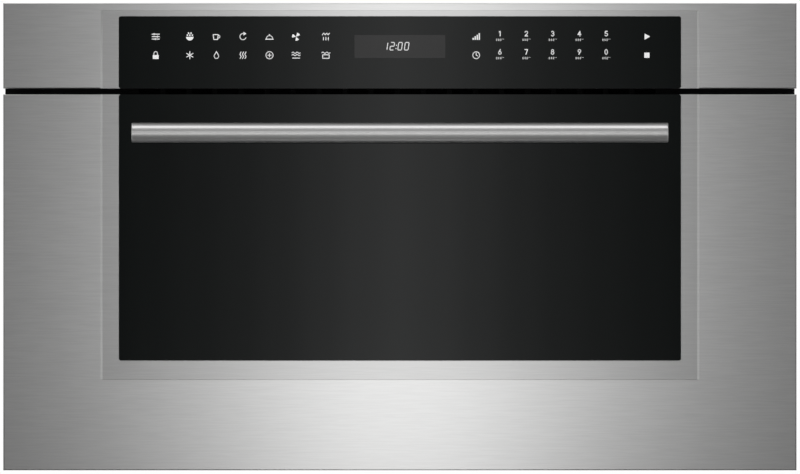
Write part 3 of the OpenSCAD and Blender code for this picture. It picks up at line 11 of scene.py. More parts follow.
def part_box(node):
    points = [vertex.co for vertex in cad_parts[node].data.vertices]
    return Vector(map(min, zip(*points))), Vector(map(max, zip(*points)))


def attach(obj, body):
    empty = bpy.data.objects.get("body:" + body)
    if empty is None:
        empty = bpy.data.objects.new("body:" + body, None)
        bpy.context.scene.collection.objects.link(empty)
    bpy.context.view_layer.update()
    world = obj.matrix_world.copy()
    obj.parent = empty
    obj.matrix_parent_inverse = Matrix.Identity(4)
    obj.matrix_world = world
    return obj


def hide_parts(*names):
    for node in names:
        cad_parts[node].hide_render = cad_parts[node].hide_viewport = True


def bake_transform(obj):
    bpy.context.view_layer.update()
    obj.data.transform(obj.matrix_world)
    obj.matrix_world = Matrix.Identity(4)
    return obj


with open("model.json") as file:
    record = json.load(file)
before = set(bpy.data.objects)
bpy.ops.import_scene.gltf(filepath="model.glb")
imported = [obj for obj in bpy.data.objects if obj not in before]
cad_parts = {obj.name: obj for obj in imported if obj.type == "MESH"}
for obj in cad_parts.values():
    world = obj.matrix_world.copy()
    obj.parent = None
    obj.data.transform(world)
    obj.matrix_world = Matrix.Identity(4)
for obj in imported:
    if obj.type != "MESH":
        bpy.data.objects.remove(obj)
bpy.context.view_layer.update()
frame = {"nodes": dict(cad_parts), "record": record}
NODES = frame["nodes"]

MM = 0.001
PIXEL = 0.9566 * MM        # size of one of the photograph's pixels at the front
IMAGE_W = 800
IMAGE_H = 474
LEFT_OF_CENTRE = 399.9     # the front's middle, in pixels
FRONT_LOW_PIXEL = 470.4    # the door's lower edge, in pixels

front_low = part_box("door_skin")[0].z
front_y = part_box("door_skin")[0].y
glass_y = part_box("control_glass")[0].y


def across(px):
    """X of a pixel column of the photograph, on the front."""
    return (px - LEFT_OF_CENTRE) * PIXEL


def up(py):
    """Z of a pixel row of the photograph, on the front."""
    return front_low + (FRONT_LOW_PIXEL - py) * PIXEL


def mesh_from(shape, name):
    data = bpy.data.meshes.new(name)
    shape.to_mesh(data)
    shape.free()
    return data


# Node materials


def opaque(color):
    """A colour as a socket takes it: three numbers get an alpha of 1, and a socket stays as it is."""
    return (*color, 1) if isinstance(color, tuple) else color


class Nodes:
    """Short ways to add nodes to a tree and to join them."""

    def __init__(self, tree):
        self.tree = tree

    def add(self, kind, inputs=None, **settings):
        node = self.tree.nodes.new(kind)
        for key, value in settings.items():
            setattr(node, key, value)
        for key, value in (inputs or {}).items():
            self.feed(value, node.inputs[key])
        return node

    def feed(self, value, socket):
        if isinstance(value, bpy.types.NodeSocket):
            self.tree.links.new(value, socket)
        else:
            socket.default_value = value

    def place(self):
        """The position in the object's own coordinates."""
        return self.add("ShaderNodeTexCoord").outputs["Object"]

    def axis(self, name):
        return self.add("ShaderNodeSeparateXYZ", {0: self.place()}).outputs[name]

    def math(self, operation, a, b=0.0):
        return self.add("ShaderNodeMath", {0: a, 1: b}, operation=operation).outputs[0]

    def ranged(self, value, low, high, to_low, to_high, **settings):
        return self.add("ShaderNodeMapRange", {"Value": value, "From Min": low, "From Max": high,
                        "To Min": to_low, "To Max": to_high}, **settings).outputs[0]


class Surface(Nodes):
    """A material with one Principled shader, whose nodes are added by the methods below."""

    def __init__(self, name, color, metallic=0.0, roughness=0.5, **more):
        self.material = bpy.data.materials.new(name)
        self.material.use_nodes = True
        super().__init__(self.material.node_tree)
        self.shader = self.tree.nodes["Principled BSDF"]
        self.shader.inputs["Base Color"].default_value = opaque(color)
        self.shader.inputs["Metallic"].default_value = metallic
        self.shader.inputs["Roughness"].default_value = roughness
        for key, value in more.items():
            self.shader.inputs[key.replace("_", " ").title().replace("Ior", "IOR")].default_value = value

    def noise(self, scale, stretch=(1, 1, 1), detail=3.0, rough=0.55):
        place = self.add("ShaderNodeMapping", {"Vector": self.place(), "Scale": stretch}).outputs[0]
        return self.add("ShaderNodeTexNoise", {"Vector": place, "Scale": scale,
                        "Detail": detail, "Roughness": rough}).outputs[0]

    def cells(self, scale, feature="F1", output="Distance"):
        inputs = {"Vector": self.place(), "Scale": scale}
        return self.add("ShaderNodeTexVoronoi", inputs, feature=feature).outputs[output]

    def blend(self, factor, first, second):
        """A mix of two colours, each of them a socket or three numbers."""
        first, second = (opaque(color) for color in (first, second))
        return self.add("ShaderNodeMix", {0: factor, 6: first, 7: second}, data_type="RGBA").outputs[2]

    def scaled(self, color, factor):
        inputs = {0: color, "Scale": factor}
        return self.add("ShaderNodeVectorMath", inputs, operation="SCALE").outputs[0]

    def color(self, value):
        self.feed(value, self.shader.inputs["Base Color"])

    def roughness(self, value):
        self.feed(value, self.shader.inputs["Roughness"])

    def bump(self, height, strength, distance):
        inputs = {"Height": height, "Strength": strength, "Distance": distance}
        self.feed(self.add("ShaderNodeBump", inputs).outputs[0], self.shader.inputs["Normal"])

    def lit(self, color, strength):
        """Light of its own, with the colour as a socket or three numbers."""
        self.feed(opaque(color), self.shader.inputs["Emission Color"])
        self.shader.inputs["Emission Strength"].default_value = strength

    def brushed_along(self, axis, amount):
        """Brushing lines that stay level round the given axis."""
        self.shader.inputs["Anisotropic"].default_value = amount
        self.shader.inputs["Anisotropic Rotation"].default_value = 0.25
        tangent = self.add("ShaderNodeTangent", direction_type="RADIAL", axis=axis)
        self.feed(tangent.outputs[0], self.shader.inputs["Tangent"])

    def whitened(self, amount):
        """Plain white over the surface, by an amount of 0 to 1."""
        white = self.add("ShaderNodeEmission", {"Strength": 1.0})
        mix = self.add("ShaderNodeMixShader", {0: amount, 1: self.shader.outputs[0], 2: white.outputs[0]})
        self.feed(mix.outputs[0], self.tree.nodes["Material Output"].inputs[0])


def mottled(surface, color, spread, scale, rough, rough_spread):
    """Slow variation of colour and roughness over a surface."""
    cloud = surface.noise(scale)
    dark = tuple(c * (1 - spread) for c in color)
    light = tuple(min(1, c * (1 + spread)) for c in color)
    surface.color(surface.blend(cloud, dark, light))
    surface.roughness(surface.ranged(cloud, 0.3, 0.7, rough - rough_spread, rough + rough_spread))


RAISED_HALF_W = across(697.3)
RAISED_LOW = up(379.3)
RAISED_HIGH = up(10.8)
# Painted shade: the colour darkens between these two widths, along the upright folded edges.
BEND_START = 378.2 * MM     # where the sheet begins to bend back at its upright edges
BEND_END = 379.2 * MM


def front_steel():
    """Brushed sheet, with painted shade where it is pressed forward round the glass and along its folded
    edges.
    """
    s = Surface("front_steel", (0.78, 0.78, 0.775), metallic=1.0, roughness=0.286)
    streaks = s.ranged(s.noise(1, (42, 42, 1050), detail=2, rough=0.5), 0.4, 0.6, 0, 1)
    broader = s.ranged(s.noise(1, (24, 24, 520), detail=1, rough=0.5), 0.4, 0.6, 0, 1)
    grain = s.math("ADD", s.math("MULTIPLY", streaks, 0.65), s.math("MULTIPLY", broader, 0.35))
    tone = s.blend(grain, (0.75, 0.75, 0.745), (0.8, 0.8, 0.795))
    off = s.math("ABSOLUTE", s.axis("X"))
    # Painted shade: the raised panel round the glass gets 0.84 of the colour.
    within = s.math("MULTIPLY", s.math("GREATER_THAN", s.axis("Z"), RAISED_LOW),
                    s.math("LESS_THAN", s.axis("Z"), RAISED_HIGH))
    pressed = s.math("MULTIPLY", within, s.math("LESS_THAN", off, RAISED_HALF_W))
    # Painted shade along the folded upright edges: the colour falls to 0.4 there.
    painted_edge_shade = s.ranged(off, BEND_START, BEND_END, 1, 0.4)
    s.color(s.scaled(tone, s.math("MULTIPLY", s.ranged(pressed, 0, 1, 1, 0.84), painted_edge_shade)))
    s.roughness(s.ranged(grain, 0, 1, 0.281, 0.291))
    s.bump(streaks, 0.03, 0.02 * MM)
    s.brushed_along("Z", 0.37)
    return s


def handle_steel():
    s = Surface("handle_steel", (0.765, 0.76, 0.755), metallic=0.86, roughness=0.31)
    rings = s.noise(1, (900, 25, 25), detail=4, rough=0.65)
    s.color(s.blend(rings, (0.745, 0.74, 0.735), (0.785, 0.78, 0.775)))
    s.roughness(s.ranged(rings, 0.3, 0.7, 0.295, 0.325))
    s.brushed_along("X", 0.86)
    return s


def outer_glass():
    s = Surface("outer_glass", (0.0012, 0.0022, 0.002), roughness=0.03, ior=1.283)
    film = s.noise(3, detail=2)
    s.roughness(s.ranged(film, 0.3, 0.7, 0.025, 0.045))
    s.color(s.blend(film, (0.001, 0.002, 0.0018), (0.0014, 0.0025, 0.0023)))
    return s


def inner_glass():
    s = Surface("inner_glass", (0.62, 0.66, 0.66), roughness=0.02, ior=1.5, transmission_weight=0.92)
    smear = s.noise(9, detail=3)
    s.roughness(s.ranged(smear, 0.45, 0.75, 0.015, 0.06))
    return s


def zinc_sheet():
    """Galvanised steel: pale crystals of several tones, each a centimetre or so across."""
    s = Surface("zinc_sheet", (0.6, 0.62, 0.63), metallic=1.0, roughness=0.42)
    tone = s.add("ShaderNodeSeparateColor", {0: s.cells(85.0, output="Color")}).outputs[0]
    broad = s.noise(7, detail=4)
    mixed = s.math("ADD", s.math("MULTIPLY", tone, 0.6), s.math("MULTIPLY", broad, 0.4))
    s.color(s.blend(mixed, (0.5, 0.52, 0.535), (0.68, 0.7, 0.71)))
    s.roughness(s.ranged(tone, 0, 1, 0.34, 0.5))
    s.bump(s.noise(420, detail=2), 0.1, 0.04 * MM)
    return s


HOLE_PITCH = 2.3 * MM


def screen():
    """Black enamelled sheet with rows of small round holes, each a near-black dot of painted shade in
    place of an opening.
    """
    s = Surface("screen", (0.05, 0.05, 0.05), metallic=0.6, roughness=0.4)
    x = s.math("MULTIPLY", s.axis("X"), 1 / HOLE_PITCH)
    z = s.math("MULTIPLY", s.axis("Z"), 1 / HOLE_PITCH)
    row = s.math("MODULO", s.math("FLOOR", z), 2)
    dx = s.math("SUBTRACT", s.math("FRACT", s.math("ADD", x, s.math("MULTIPLY", row, 0.5))), 0.5)
    dz = s.math("SUBTRACT", s.math("FRACT", z), 0.5)
    away = s.math("SQRT", s.math("ADD", s.math("MULTIPLY", dx, dx), s.math("MULTIPLY", dz, dz)))
    rim = s.ranged(away, 0.28, 0.36, 0, 1)
    # Painted shade: the holes are near-black dots in the colour, with a bump at their rims.
    s.color(s.blend(rim, (0.002, 0.002, 0.002), (0.11, 0.11, 0.115)))
    s.bump(rim, 0.5, 0.3 * MM)
    return s


def moulded(name, color, rough, scale=900.0, depth=0.03 * MM):
    """Plastic with a fine moulded texture."""
    s = Surface(name, color, roughness=rough)
    mottled(s, color, 0.06, 14, rough, 0.05)
    s.bump(s.noise(scale, detail=2), 0.25, depth)
    return s


def black_enamel():
    s = Surface("black_enamel", (0.006, 0.006, 0.006), roughness=0.55, ior=1.2)
    mottled(s, (0.006, 0.006, 0.006), 0.15, 12, 0.55, 0.06)
    s.bump(s.noise(260, detail=3), 0.08, 0.05 * MM)
    return s


def cavity_steel():
    s = Surface("cavity_steel", (0.5, 0.5, 0.49), metallic=1.0, roughness=0.36)
    grain = s.noise(1, (60, 60, 900), detail=4, rough=0.6)
    heat = s.noise(4, detail=3)
    tone = s.blend(grain, (0.46, 0.46, 0.45), (0.56, 0.56, 0.55))
    s.color(s.blend(s.ranged(heat, 0.55, 0.8, 0, 0.35), tone, (0.5, 0.46, 0.4)))
    s.roughness(s.ranged(heat, 0.3, 0.7, 0.3, 0.44))
    s.bump(grain, 0.06, 0.03 * MM)
    return s


def heater():
    s = Surface("heater", (0.1, 0.095, 0.09), metallic=0.7, roughness=0.5)
    mottled(s, (0.11, 0.1, 0.095), 0.3, 45, 0.52, 0.1)
    s.bump(s.noise(700, detail=3), 0.25, 0.05 * MM)
    return s


def zinc_screw():
    s = Surface("zinc_screw", (0.68, 0.69, 0.7), metallic=1.0, roughness=0.28)
    mottled(s, (0.68, 0.69, 0.7), 0.08, 160, 0.28, 0.08)
    return s


def hinge_steel():
    s = Surface("hinge_steel", (0.5, 0.5, 0.5), metallic=1.0, roughness=0.36)
    mottled(s, (0.5, 0.5, 0.49), 0.14, 60, 0.36, 0.1)
    s.bump(s.noise(900, detail=2), 0.12, 0.04 * MM)
    return s


PLATE_T = 1.6 * MM             # of both boards
POWER_PILLAR = 8 * MM          # length of the pillars under the power board
CONTROL_CHIP = 2.4 * MM        # height of the chips on the control board
HAIR = 0.05 * MM


def board():
    """Green plate with faint copper tracks. Pillars, chips and capacitors are told apart by place."""
    power_low, power_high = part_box("power_board")
    control_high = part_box("control_board")[1]
    s = Surface("board", (0.02, 0.14, 0.06), roughness=0.3, coat_weight=0.3)
    over_power = s.math("SUBTRACT", s.axis("Z"), power_low.z + POWER_PILLAR + PLATE_T)
    over_control = s.math("SUBTRACT", s.axis("Y"), control_high.y - CONTROL_CHIP)
    at_back = s.math("GREATER_THAN", s.axis("Y"), (control_high.y + power_low.y) / 2)
    over = s.math("ADD", s.math("MULTIPLY", at_back, over_power),
                  s.math("MULTIPLY", s.math("SUBTRACT", 1, at_back), over_control))
    tracks = s.cells(160, "DISTANCE_TO_EDGE")
    mask = s.blend(s.ranged(tracks, 0.04, 0.07, 0, 1), (0.03, 0.22, 0.1), (0.012, 0.12, 0.05))
    capacitors = s.math("GREATER_THAN", s.axis("Y"), (power_low.y + power_high.y) / 2)
    print_on = s.ranged(s.noise(400, detail=2), 0.55, 0.6, 0, 0.12)
    black_chip = s.blend(print_on, (0.015, 0.015, 0.016), (0.5, 0.5, 0.5))
    blue_sleeve = s.blend(print_on, (0.02, 0.035, 0.1), (0.4, 0.42, 0.45))
    parts = s.blend(capacitors, black_chip, blue_sleeve)
    plate_and_parts = s.blend(s.math("GREATER_THAN", over, HAIR), mask, parts)
    under = s.math("LESS_THAN", over, -PLATE_T - HAIR)
    s.color(s.blend(under, plate_and_parts, (0.75, 0.74, 0.7)))
    s.roughness(s.ranged(s.noise(30), 0.3, 0.7, 0.24, 0.36))
    return s


def sheet_metal(name, color, rough):
    s = Surface(name, color, metallic=1.0, roughness=rough)
    grain = s.noise(1, (300, 20, 300), detail=3)
    dark = tuple(c * 0.93 for c in color)
    light = tuple(min(1, c * 1.05) for c in color)
    s.color(s.blend(grain, dark, light))
    s.roughness(s.ranged(grain, 0.3, 0.7, rough - 0.06, rough + 0.06))
    s.bump(grain, 0.06, 0.04 * MM)
    return s


def mica():
    s = Surface("mica", (0.68, 0.62, 0.47), roughness=0.45, sheen_weight=0.1)
    flakes = s.cells(190)
    s.color(s.blend(flakes, (0.74, 0.68, 0.53), (0.56, 0.5, 0.37)))
    s.roughness(s.ranged(flakes, 0, 0.6, 0.35, 0.6))
    return s


WINDING_PITCH = 1.6 * MM
CORE_HALF_DEPTH = 28.05 * MM


def transformer():
    """Varnished laminations, with the copper windings told apart by their place."""
    low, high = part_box("hv_transformer")
    middle = (low + high) / 2
    s = Surface("transformer", (0.25, 0.23, 0.22), metallic=0.6, roughness=0.5)
    layers = s.noise(1, (30, 1800, 30), detail=2)
    core = s.blend(layers, (0.11, 0.1, 0.1), (0.23, 0.21, 0.2))
    wires = s.math("FRACT", s.math("MULTIPLY", s.axis("Z"), 1 / WINDING_PITCH))
    copper = s.blend(s.ranged(wires, 0.2, 0.5, 0, 1), (0.2, 0.07, 0.02), (0.62, 0.26, 0.09))
    off = s.math("ABSOLUTE", s.math("SUBTRACT", s.axis("Y"), middle.y))
    s.color(s.blend(s.math("GREATER_THAN", off, CORE_HALF_DEPTH), core, copper))
    s.roughness(s.ranged(layers, 0.3, 0.7, 0.35, 0.55))
    return s


BULB_REACH = 9.5 * MM          # half the width of the bulb with its socket
LAMP_END = 1.2 * MM            # a little more than the sheet of the lamp house


def lamp():
    """Plated lamp house, with the pale bulb and its socket told apart by their place."""
    low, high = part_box("oven_lamp")
    middle = (low + high) / 2
    s = Surface("lamp", (0.6, 0.6, 0.58), metallic=1.0, roughness=0.36)
    grain = s.noise(1, (300, 20, 300), detail=3)
    house = s.blend(grain, (0.56, 0.56, 0.54), (0.63, 0.63, 0.61))
    off_y = s.math("ABSOLUTE", s.math("SUBTRACT", s.axis("Y"), middle.y))
    off_z = s.math("ABSOLUTE", s.math("SUBTRACT", s.axis("Z"), middle.z))
    near = s.math("LESS_THAN", s.math("MAXIMUM", off_y, off_z), BULB_REACH)
    bulb = s.math("MULTIPLY", near, s.math("LESS_THAN", s.axis("X"), high.x - LAMP_END))
    s.color(s.blend(bulb, house, (0.85, 0.83, 0.76)))
    s.feed(s.math("SUBTRACT", 1, bulb), s.shader.inputs["Metallic"])
    s.roughness(s.math("SUBTRACT", s.ranged(grain, 0.3, 0.7, 0.3, 0.42), s.math("MULTIPLY", bulb, 0.2)))
    return s


def tray():
    """White glazed ceramic."""
    s = Surface("tray", (0.86, 0.85, 0.82), roughness=0.1, ior=1.5, coat_weight=0.4)
    cloud = s.noise(18, detail=2)
    s.color(s.blend(cloud, (0.84, 0.83, 0.8), (0.88, 0.87, 0.845)))
    specks = s.noise(240, detail=2)
    s.roughness(s.ranged(specks, 0.3, 0.7, 0.08, 0.14))
    s.bump(cloud, 0.15, 0.6 * MM)
    return s


SURFACES = {
    "front_steel": front_steel(),
    "handle_steel": handle_steel(),
    "outer_glass": outer_glass(),
    "inner_glass": inner_glass(),
    "zinc_sheet": zinc_sheet(),
    "screen": screen(),
    "black_plastic": moulded("black_plastic", (0.022, 0.022, 0.023), 0.42),
    "black_enamel": black_enamel(),
    "cavity_steel": cavity_steel(),
    "heater": heater(),
    "zinc_screw": zinc_screw(),
    "hinge_steel": hinge_steel(),
    "white_plastic": moulded("white_plastic", (0.8, 0.79, 0.75), 0.45),
    "display": moulded("display", (0.03, 0.034, 0.04), 0.15, 300.0, 0.01 * MM),
    "board": board(),
    "fan_metal": sheet_metal("fan_metal", (0.68, 0.69, 0.7), 0.34),
    "motor": sheet_metal("motor", (0.33, 0.33, 0.34), 0.45),
    "waveguide": sheet_metal("waveguide", (0.66, 0.66, 0.66), 0.32),
    "mica": mica(),
    "transformer": transformer(),
    "capacitor": sheet_metal("capacitor", (0.66, 0.67, 0.68), 0.36),
    "lamp": lamp(),
    "tray": tray(),
    "roller_plastic": moulded("roller_plastic", (0.77, 0.76, 0.72), 0.5),
    "inlet": sheet_metal("inlet", (0.62, 0.62, 0.63), 0.38),
}

for part in frame["record"]["subparts"]:
    solid = NODES[part["node"]]
    solid.data.materials.clear()
    solid.data.materials.append(SURFACES[part["material_slot"]].material)


# Edges: a real sheet or moulding never has a perfectly sharp one

WELD_GAP = 0.002 * MM
ROUNDED_FROM = 35              # degrees between faces: a flatter edge stays as it is


def soften(width, *names):
    for name in names:
        weld = NODES[name].modifiers.new("weld", "WELD")
        weld.merge_threshold = WELD_GAP
        bevel = NODES[name].modifiers.new("bevel", "BEVEL")
        bevel.width = width
        bevel.segments = 2
        bevel.limit_method = "ANGLE"
        bevel.angle_limit = math.radians(ROUNDED_FROM)
        bevel.harden_normals = True


soften(0.35 * MM, "door_skin", "control_frame")
soften(0.5 * MM, "door_glass", "control_glass", "inner_glass")
soften(0.3 * MM, "outer_cover", "back_panel", "base_pan", "front_frame", "door_inner_panel")
soften(0.4 * MM, "choke_cover", "handle_end_caps", "power_inlet")


# Springs over the plungers of the door's hinges. The real ones shorten as the door opens; these coils
# keep one length.

SPRING_R = 5.4 * MM
SPRING_WIRE = 1.08 * MM
SPRING_TURNS = 11
SPRING_STEPS = 24
WIRE_SIDES = 10


def wire_ring(x0, y0, z, turn, side):
    """Corners of the wire's section at one place of the coil."""
    corners = []
    for corner in range(WIRE_SIDES):
        around = 2 * math.pi * corner / WIRE_SIDES
        r = SPRING_R + SPRING_WIRE * math.cos(around)
        x, y = x0 + side * r * math.cos(turn), y0 + r * math.sin(turn)
        corners.append((x, y, z + SPRING_WIRE * math.sin(around)))
    return corners


def coiled_spring(node, side):
    """Coil in a CAD node's place, which it hides."""
    low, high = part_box(node)
    x0, y0 = (low.x + high.x) / 2, (low.y + high.y) / 2
    z0, z1 = low.z + SPRING_WIRE, high.z - SPRING_WIRE
    steps = SPRING_TURNS * SPRING_STEPS
    mesh = bmesh.new()
    rings = []
    for k in range(steps + 1):
        turn = 2 * math.pi * k / SPRING_STEPS
        corners = wire_ring(x0, y0, z0 + (z1 - z0) * k / steps, turn, side)
        rings.append([mesh.verts.new(corner) for corner in corners])
    for first, second in zip(rings, rings[1:]):
        for i in range(WIRE_SIDES):
            j = (i + 1) % WIRE_SIDES
            mesh.faces.new((first[i], first[j], second[j], second[i]))
    mesh.faces.new(rings[0])
    mesh.faces.new(rings[-1])
    bmesh.ops.recalc_face_normals(mesh, faces=mesh.faces)
    data = mesh_from(mesh, node + "_coil")
    data.polygons.foreach_set("use_smooth", [True] * len(data.polygons))
    data.materials.append(SURFACES["hinge_steel"].material)
    piece = bpy.data.objects.new(node + "_coil", data)
    bpy.context.scene.collection.objects.link(piece)
    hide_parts(node)
    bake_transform(piece)


coiled_spring("hinge_spring_left", -1)
coiled_spring("hinge_spring_right", 1)


# Thin printed marks on the glass


class Print:
    """Flat marks in the plane of the front, gathered into one thin mesh."""

    def __init__(self, y, thickness):
        self.mesh = bmesh.new()
        self.back = y + thickness / 4
        self.front = y - thickness * 3 / 4

    def face(self, outline):
        """A closed prism from an outline of (x, z) corners, listed anticlockwise from the front."""
        ys = (self.front, self.back)
        rings = [[self.mesh.verts.new((x, y, z)) for x, z in outline] for y in ys]
        self.mesh.faces.new(rings[0])
        self.mesh.faces.new(rings[1][::-1])
        for i in range(len(outline)):
            j = (i + 1) % len(outline)
            self.mesh.faces.new((rings[0][j], rings[0][i], rings[1][i], rings[1][j]))

    def disc(self, x, z, r, corners=14):
        turn = 2 * math.pi / corners
        self.face([(x + r * math.cos(turn * k), z + r * math.sin(turn * k)) for k in range(corners)])

    def line(self, points, width):
        """A stroke through the points, with round joints and ends."""
        for (ax, az), (bx, bz) in zip(points, points[1:]):
            length = math.hypot(bx - ax, bz - az)
            nx, nz = -(bz - az) / length * width / 2, (bx - ax) / length * width / 2
            self.face([(ax - nx, az - nz), (bx - nx, bz - nz), (bx + nx, bz + nz), (ax + nx, az + nz)])
        for x, z in points:
            self.disc(x, z, width / 2, 10)

    def finished(self, name, surface):
        data = mesh_from(self.mesh, name)
        data.materials.append(surface.material)
        piece = bpy.data.objects.new(name, data)
        bpy.context.scene.collection.objects.link(piece)
        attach(piece, "case")


def arc(x, z, r, start, end, steps=14):
    """Points of an arc, in degrees anticlockwise from the right."""
    angles = [math.radians(start + (end - start) * k / steps) for k in range(steps + 1)]
    return [(x + r * math.cos(a), z + r * math.sin(a)) for a in angles]


def digit_strokes():
    """Plain digits as strokes in a box one unit high: digit -> strokes."""
    oval = [(0.27 * math.cos(a), 0.5 * math.sin(a)) for a in (math.radians(k * 20) for k in range(19))]
    return {
        "0": [oval],
        "1": [[(-0.14, 0.36), (0.06, 0.5), (0.06, -0.5)]],
        "2": [[*arc(0, 0.22, 0.28, 160, -35, 10), (-0.28, -0.5), (0.3, -0.5)]],
        "3": [arc(0, 0.25, 0.25, 150, -80, 10), arc(0, -0.22, 0.28, 80, -150, 12)],
        "4": [[(0.12, -0.5), (0.12, 0.5), (-0.3, -0.2), (0.32, -0.2)]],
        "5": [[(0.24, 0.5), (-0.16, 0.5), (-0.22, 0.06), *arc(0, -0.2, 0.29, 110, -150, 12)]],
        "6": [arc(0, -0.21, 0.28, 0, 360, 18), [(-0.25, -0.08), (0.1, 0.5)]],
        "7": [[(-0.28, 0.5), (0.28, 0.5), (-0.08, -0.5)]],
        "8": [arc(0, 0.27, 0.22, 0, 360, 16), arc(0, -0.22, 0.28, 0, 360, 18)],
        "9": [arc(0, 0.21, 0.28, 0, 360, 18), [(0.25, 0.08), (-0.1, -0.5)]],
    }


def icons():
    """Generic kitchen pictograms in a box one unit wide: name -> (strokes, filled shapes, discs)."""
    sliders = [[(-0.45, z), (0.45, z)] for z in (0.3, 0, -0.3)]
    flake = [[(0.45 * math.cos(a), 0.45 * math.sin(a)), (-0.45 * math.cos(a), -0.45 * math.sin(a))]
             for a in (math.radians(30), math.radians(90), math.radians(150))]
    steam = [[(x - 0.06, -0.4), (x + 0.08, -0.15), (x - 0.08, 0.1), (x + 0.06, 0.4)]
             for x in (-0.3, 0, 0.3)]
    blades = [[(0, 0), *arc(0, 0, 0.5, start, start + 55, 6)] for start in (-100, 20, 140)]
    coil = [(-0.45, 0.22), (-0.27, 0.42), (-0.09, 0.22), (0.09, 0.42), (0.27, 0.22), (0.45, 0.42)]
    wave = [(x / 10, 0.09 * math.sin(x * math.pi / 2.5)) for x in range(-5, 6)]
    upper_wave = [(x, z + 0.3) for x, z in wave]
    lower_wave = [(x, z + 0.02) for x, z in wave]
    return {
        "sliders": (sliders, [], [(-0.2, 0.3, 0.12), (0.22, 0, 0.12), (-0.05, -0.3, 0.12)]),
        "grains": ([], [arc(0, -0.02, 0.46, 180, 360, 12)],
                   [(-0.3, 0.18, 0.1), (0, 0.18, 0.1), (0.3, 0.18, 0.1),
                    (-0.15, 0.42, 0.1), (0.15, 0.42, 0.1)]),
        "cup": ([[(-0.4, 0.25), (-0.32, -0.35), (0.15, -0.35), (0.22, 0.25), (-0.4, 0.25)],
                 arc(0.24, 0, 0.18, -80, 80, 8)], [], []),
        "again": ([arc(0, 0, 0.38, 70, 340)], [[(0.06, 0.58), (0.06, 0.14), (0.42, 0.36)]], []),
        "dome": ([arc(0, -0.25, 0.38, 0, 180), [(-0.48, -0.32), (0.48, -0.32)]], [], [(0, 0.22, 0.08)]),
        "fan": ([], blades, []),
        "coil": ([coil, *([(x, -0.08), (x, -0.42)] for x in (-0.3, 0, 0.3))], [], []),
        "lock": ([[(0.22, 0.04), *arc(0, 0.22, 0.22, 0, 180, 8), (-0.22, 0.04)]],
                 [[(-0.36, -0.46), (0.36, -0.46), (0.36, 0.02), (-0.36, 0.02)]], []),
        "flake": (flake, [], []),
        "drop": ([[*arc(0, -0.12, 0.28, -210, 30), (0, 0.45), *arc(0, -0.12, 0.28, 150, 149, 1)]],
                 [], []),
        "warm": (steam, [], []),
        "plus": ([arc(0, 0, 0.44, 0, 360, 20), [(-0.2, 0), (0.2, 0)], [(0, -0.2), (0, 0.2)]], [], []),
        "waves": ([upper_wave, lower_wave, [(-0.45, -0.35), (0.45, -0.35)]], [], []),
        "wave_box": ([upper_wave,
                      [(-0.4, 0.05), (-0.4, -0.38), (0.4, -0.38), (0.4, 0.05), (-0.4, 0.05)]], [], []),
        "steps": ([], [[(x, -0.4), (x + 0.16, -0.4), (x + 0.16, h), (x, h)]
                       for x, h in ((-0.45, -0.15), (-0.2, 0.05), (0.05, 0.22), (0.3, 0.42))], []),
        "clock": ([arc(0, 0, 0.42, 0, 360, 20), [(0, 0.25), (0, 0), (0.18, -0.08)]], [], []),
        "go": ([], [[(-0.28, -0.38), (0.4, 0), (-0.28, 0.38)]], []),
        "halt": ([], [[(-0.32, -0.32), (0.32, -0.32), (0.32, 0.32), (-0.32, 0.32)]], []),
    }


DIGIT_STROKES = digit_strokes()
DIGIT_HEIGHT = 4.5 * MM
DIGIT_STROKE = 0.9 * MM
ICONS = icons()
ICON_SIZE = 7.8 * MM
ICON_STROKE = 0.8 * MM


def draw_icon(marks, name, px, py):
    strokes, shapes, discs = ICONS[name]
    x0, z0 = across(px), up(py)

    def placed(points):
        return [(x0 + x * ICON_SIZE, z0 + z * ICON_SIZE) for x, z in points]

    for points in strokes:
        marks.line(placed(points), ICON_STROKE)
    for points in shapes:
        marks.face(placed(points))
    for x, z, r in discs:
        marks.disc(x0 + x * ICON_SIZE, z0 + z * ICON_SIZE, r * ICON_SIZE)


def draw_digit(marks, digit, x0, z0):
    for stroke in DIGIT_STROKES[digit]:
        marks.line([(x0 + x * DIGIT_HEIGHT, z0 + z * DIGIT_HEIGHT) for x, z in stroke], DIGIT_STROKE)


RINGS_LEFT = -3.1 * MM     # middle of the first ring, from the digit's middle
RING_PITCH = 2.0 * MM
RING_HALF_W = 0.42 * MM
RING_HALF_H = 1.0 * MM
RING_STROKE = 0.34 * MM
DOTS_LEFT = 2.4 * MM
DOT_PITCH = 1.2 * MM
DOT_RISE = 0.7 * MM
DOT_R = 0.3 * MM


def draw_small_marks(marks, x0, z0):
    """Three small rings and two dots, in the place of the fine print under a digit."""
    ring = arc(0, 0, 1, 0, 360, 8)
    for k in range(3):
        x = x0 + RINGS_LEFT + k * RING_PITCH
        marks.line([(x + RING_HALF_W * a, z0 + RING_HALF_H * b) for a, b in ring], RING_STROKE)
    for k in range(2):
        marks.disc(x0 + DOTS_LEFT + k * DOT_PITCH, z0 + DOT_RISE, DOT_R, 8)


LEFT_KEYS = [
    (155.7, "sliders", "lock"), (189.8, "grains", "flake"), (216.4, "cup", "drop"),
    (243.0, "again", "warm"), (269.5, "dome", "plus"), (296.1, "fan", "waves"),
    (325.9, "coil", "wave_box"),
]
SIDE_KEYS = [(476.2, "steps", "clock"), (646.9, "go", "halt")]
DIGIT_COLUMNS = (499.9, 526.3, 552.6, 579.4, 606.2)
ICON_ROWS = (36.6, 55.2)
DIGIT_ROWS = (33.6, 51.9)
MARKS_BELOW = 6.2          # pixels from a digit's middle down to the small marks under it
PRINT_T = 0.06 * MM


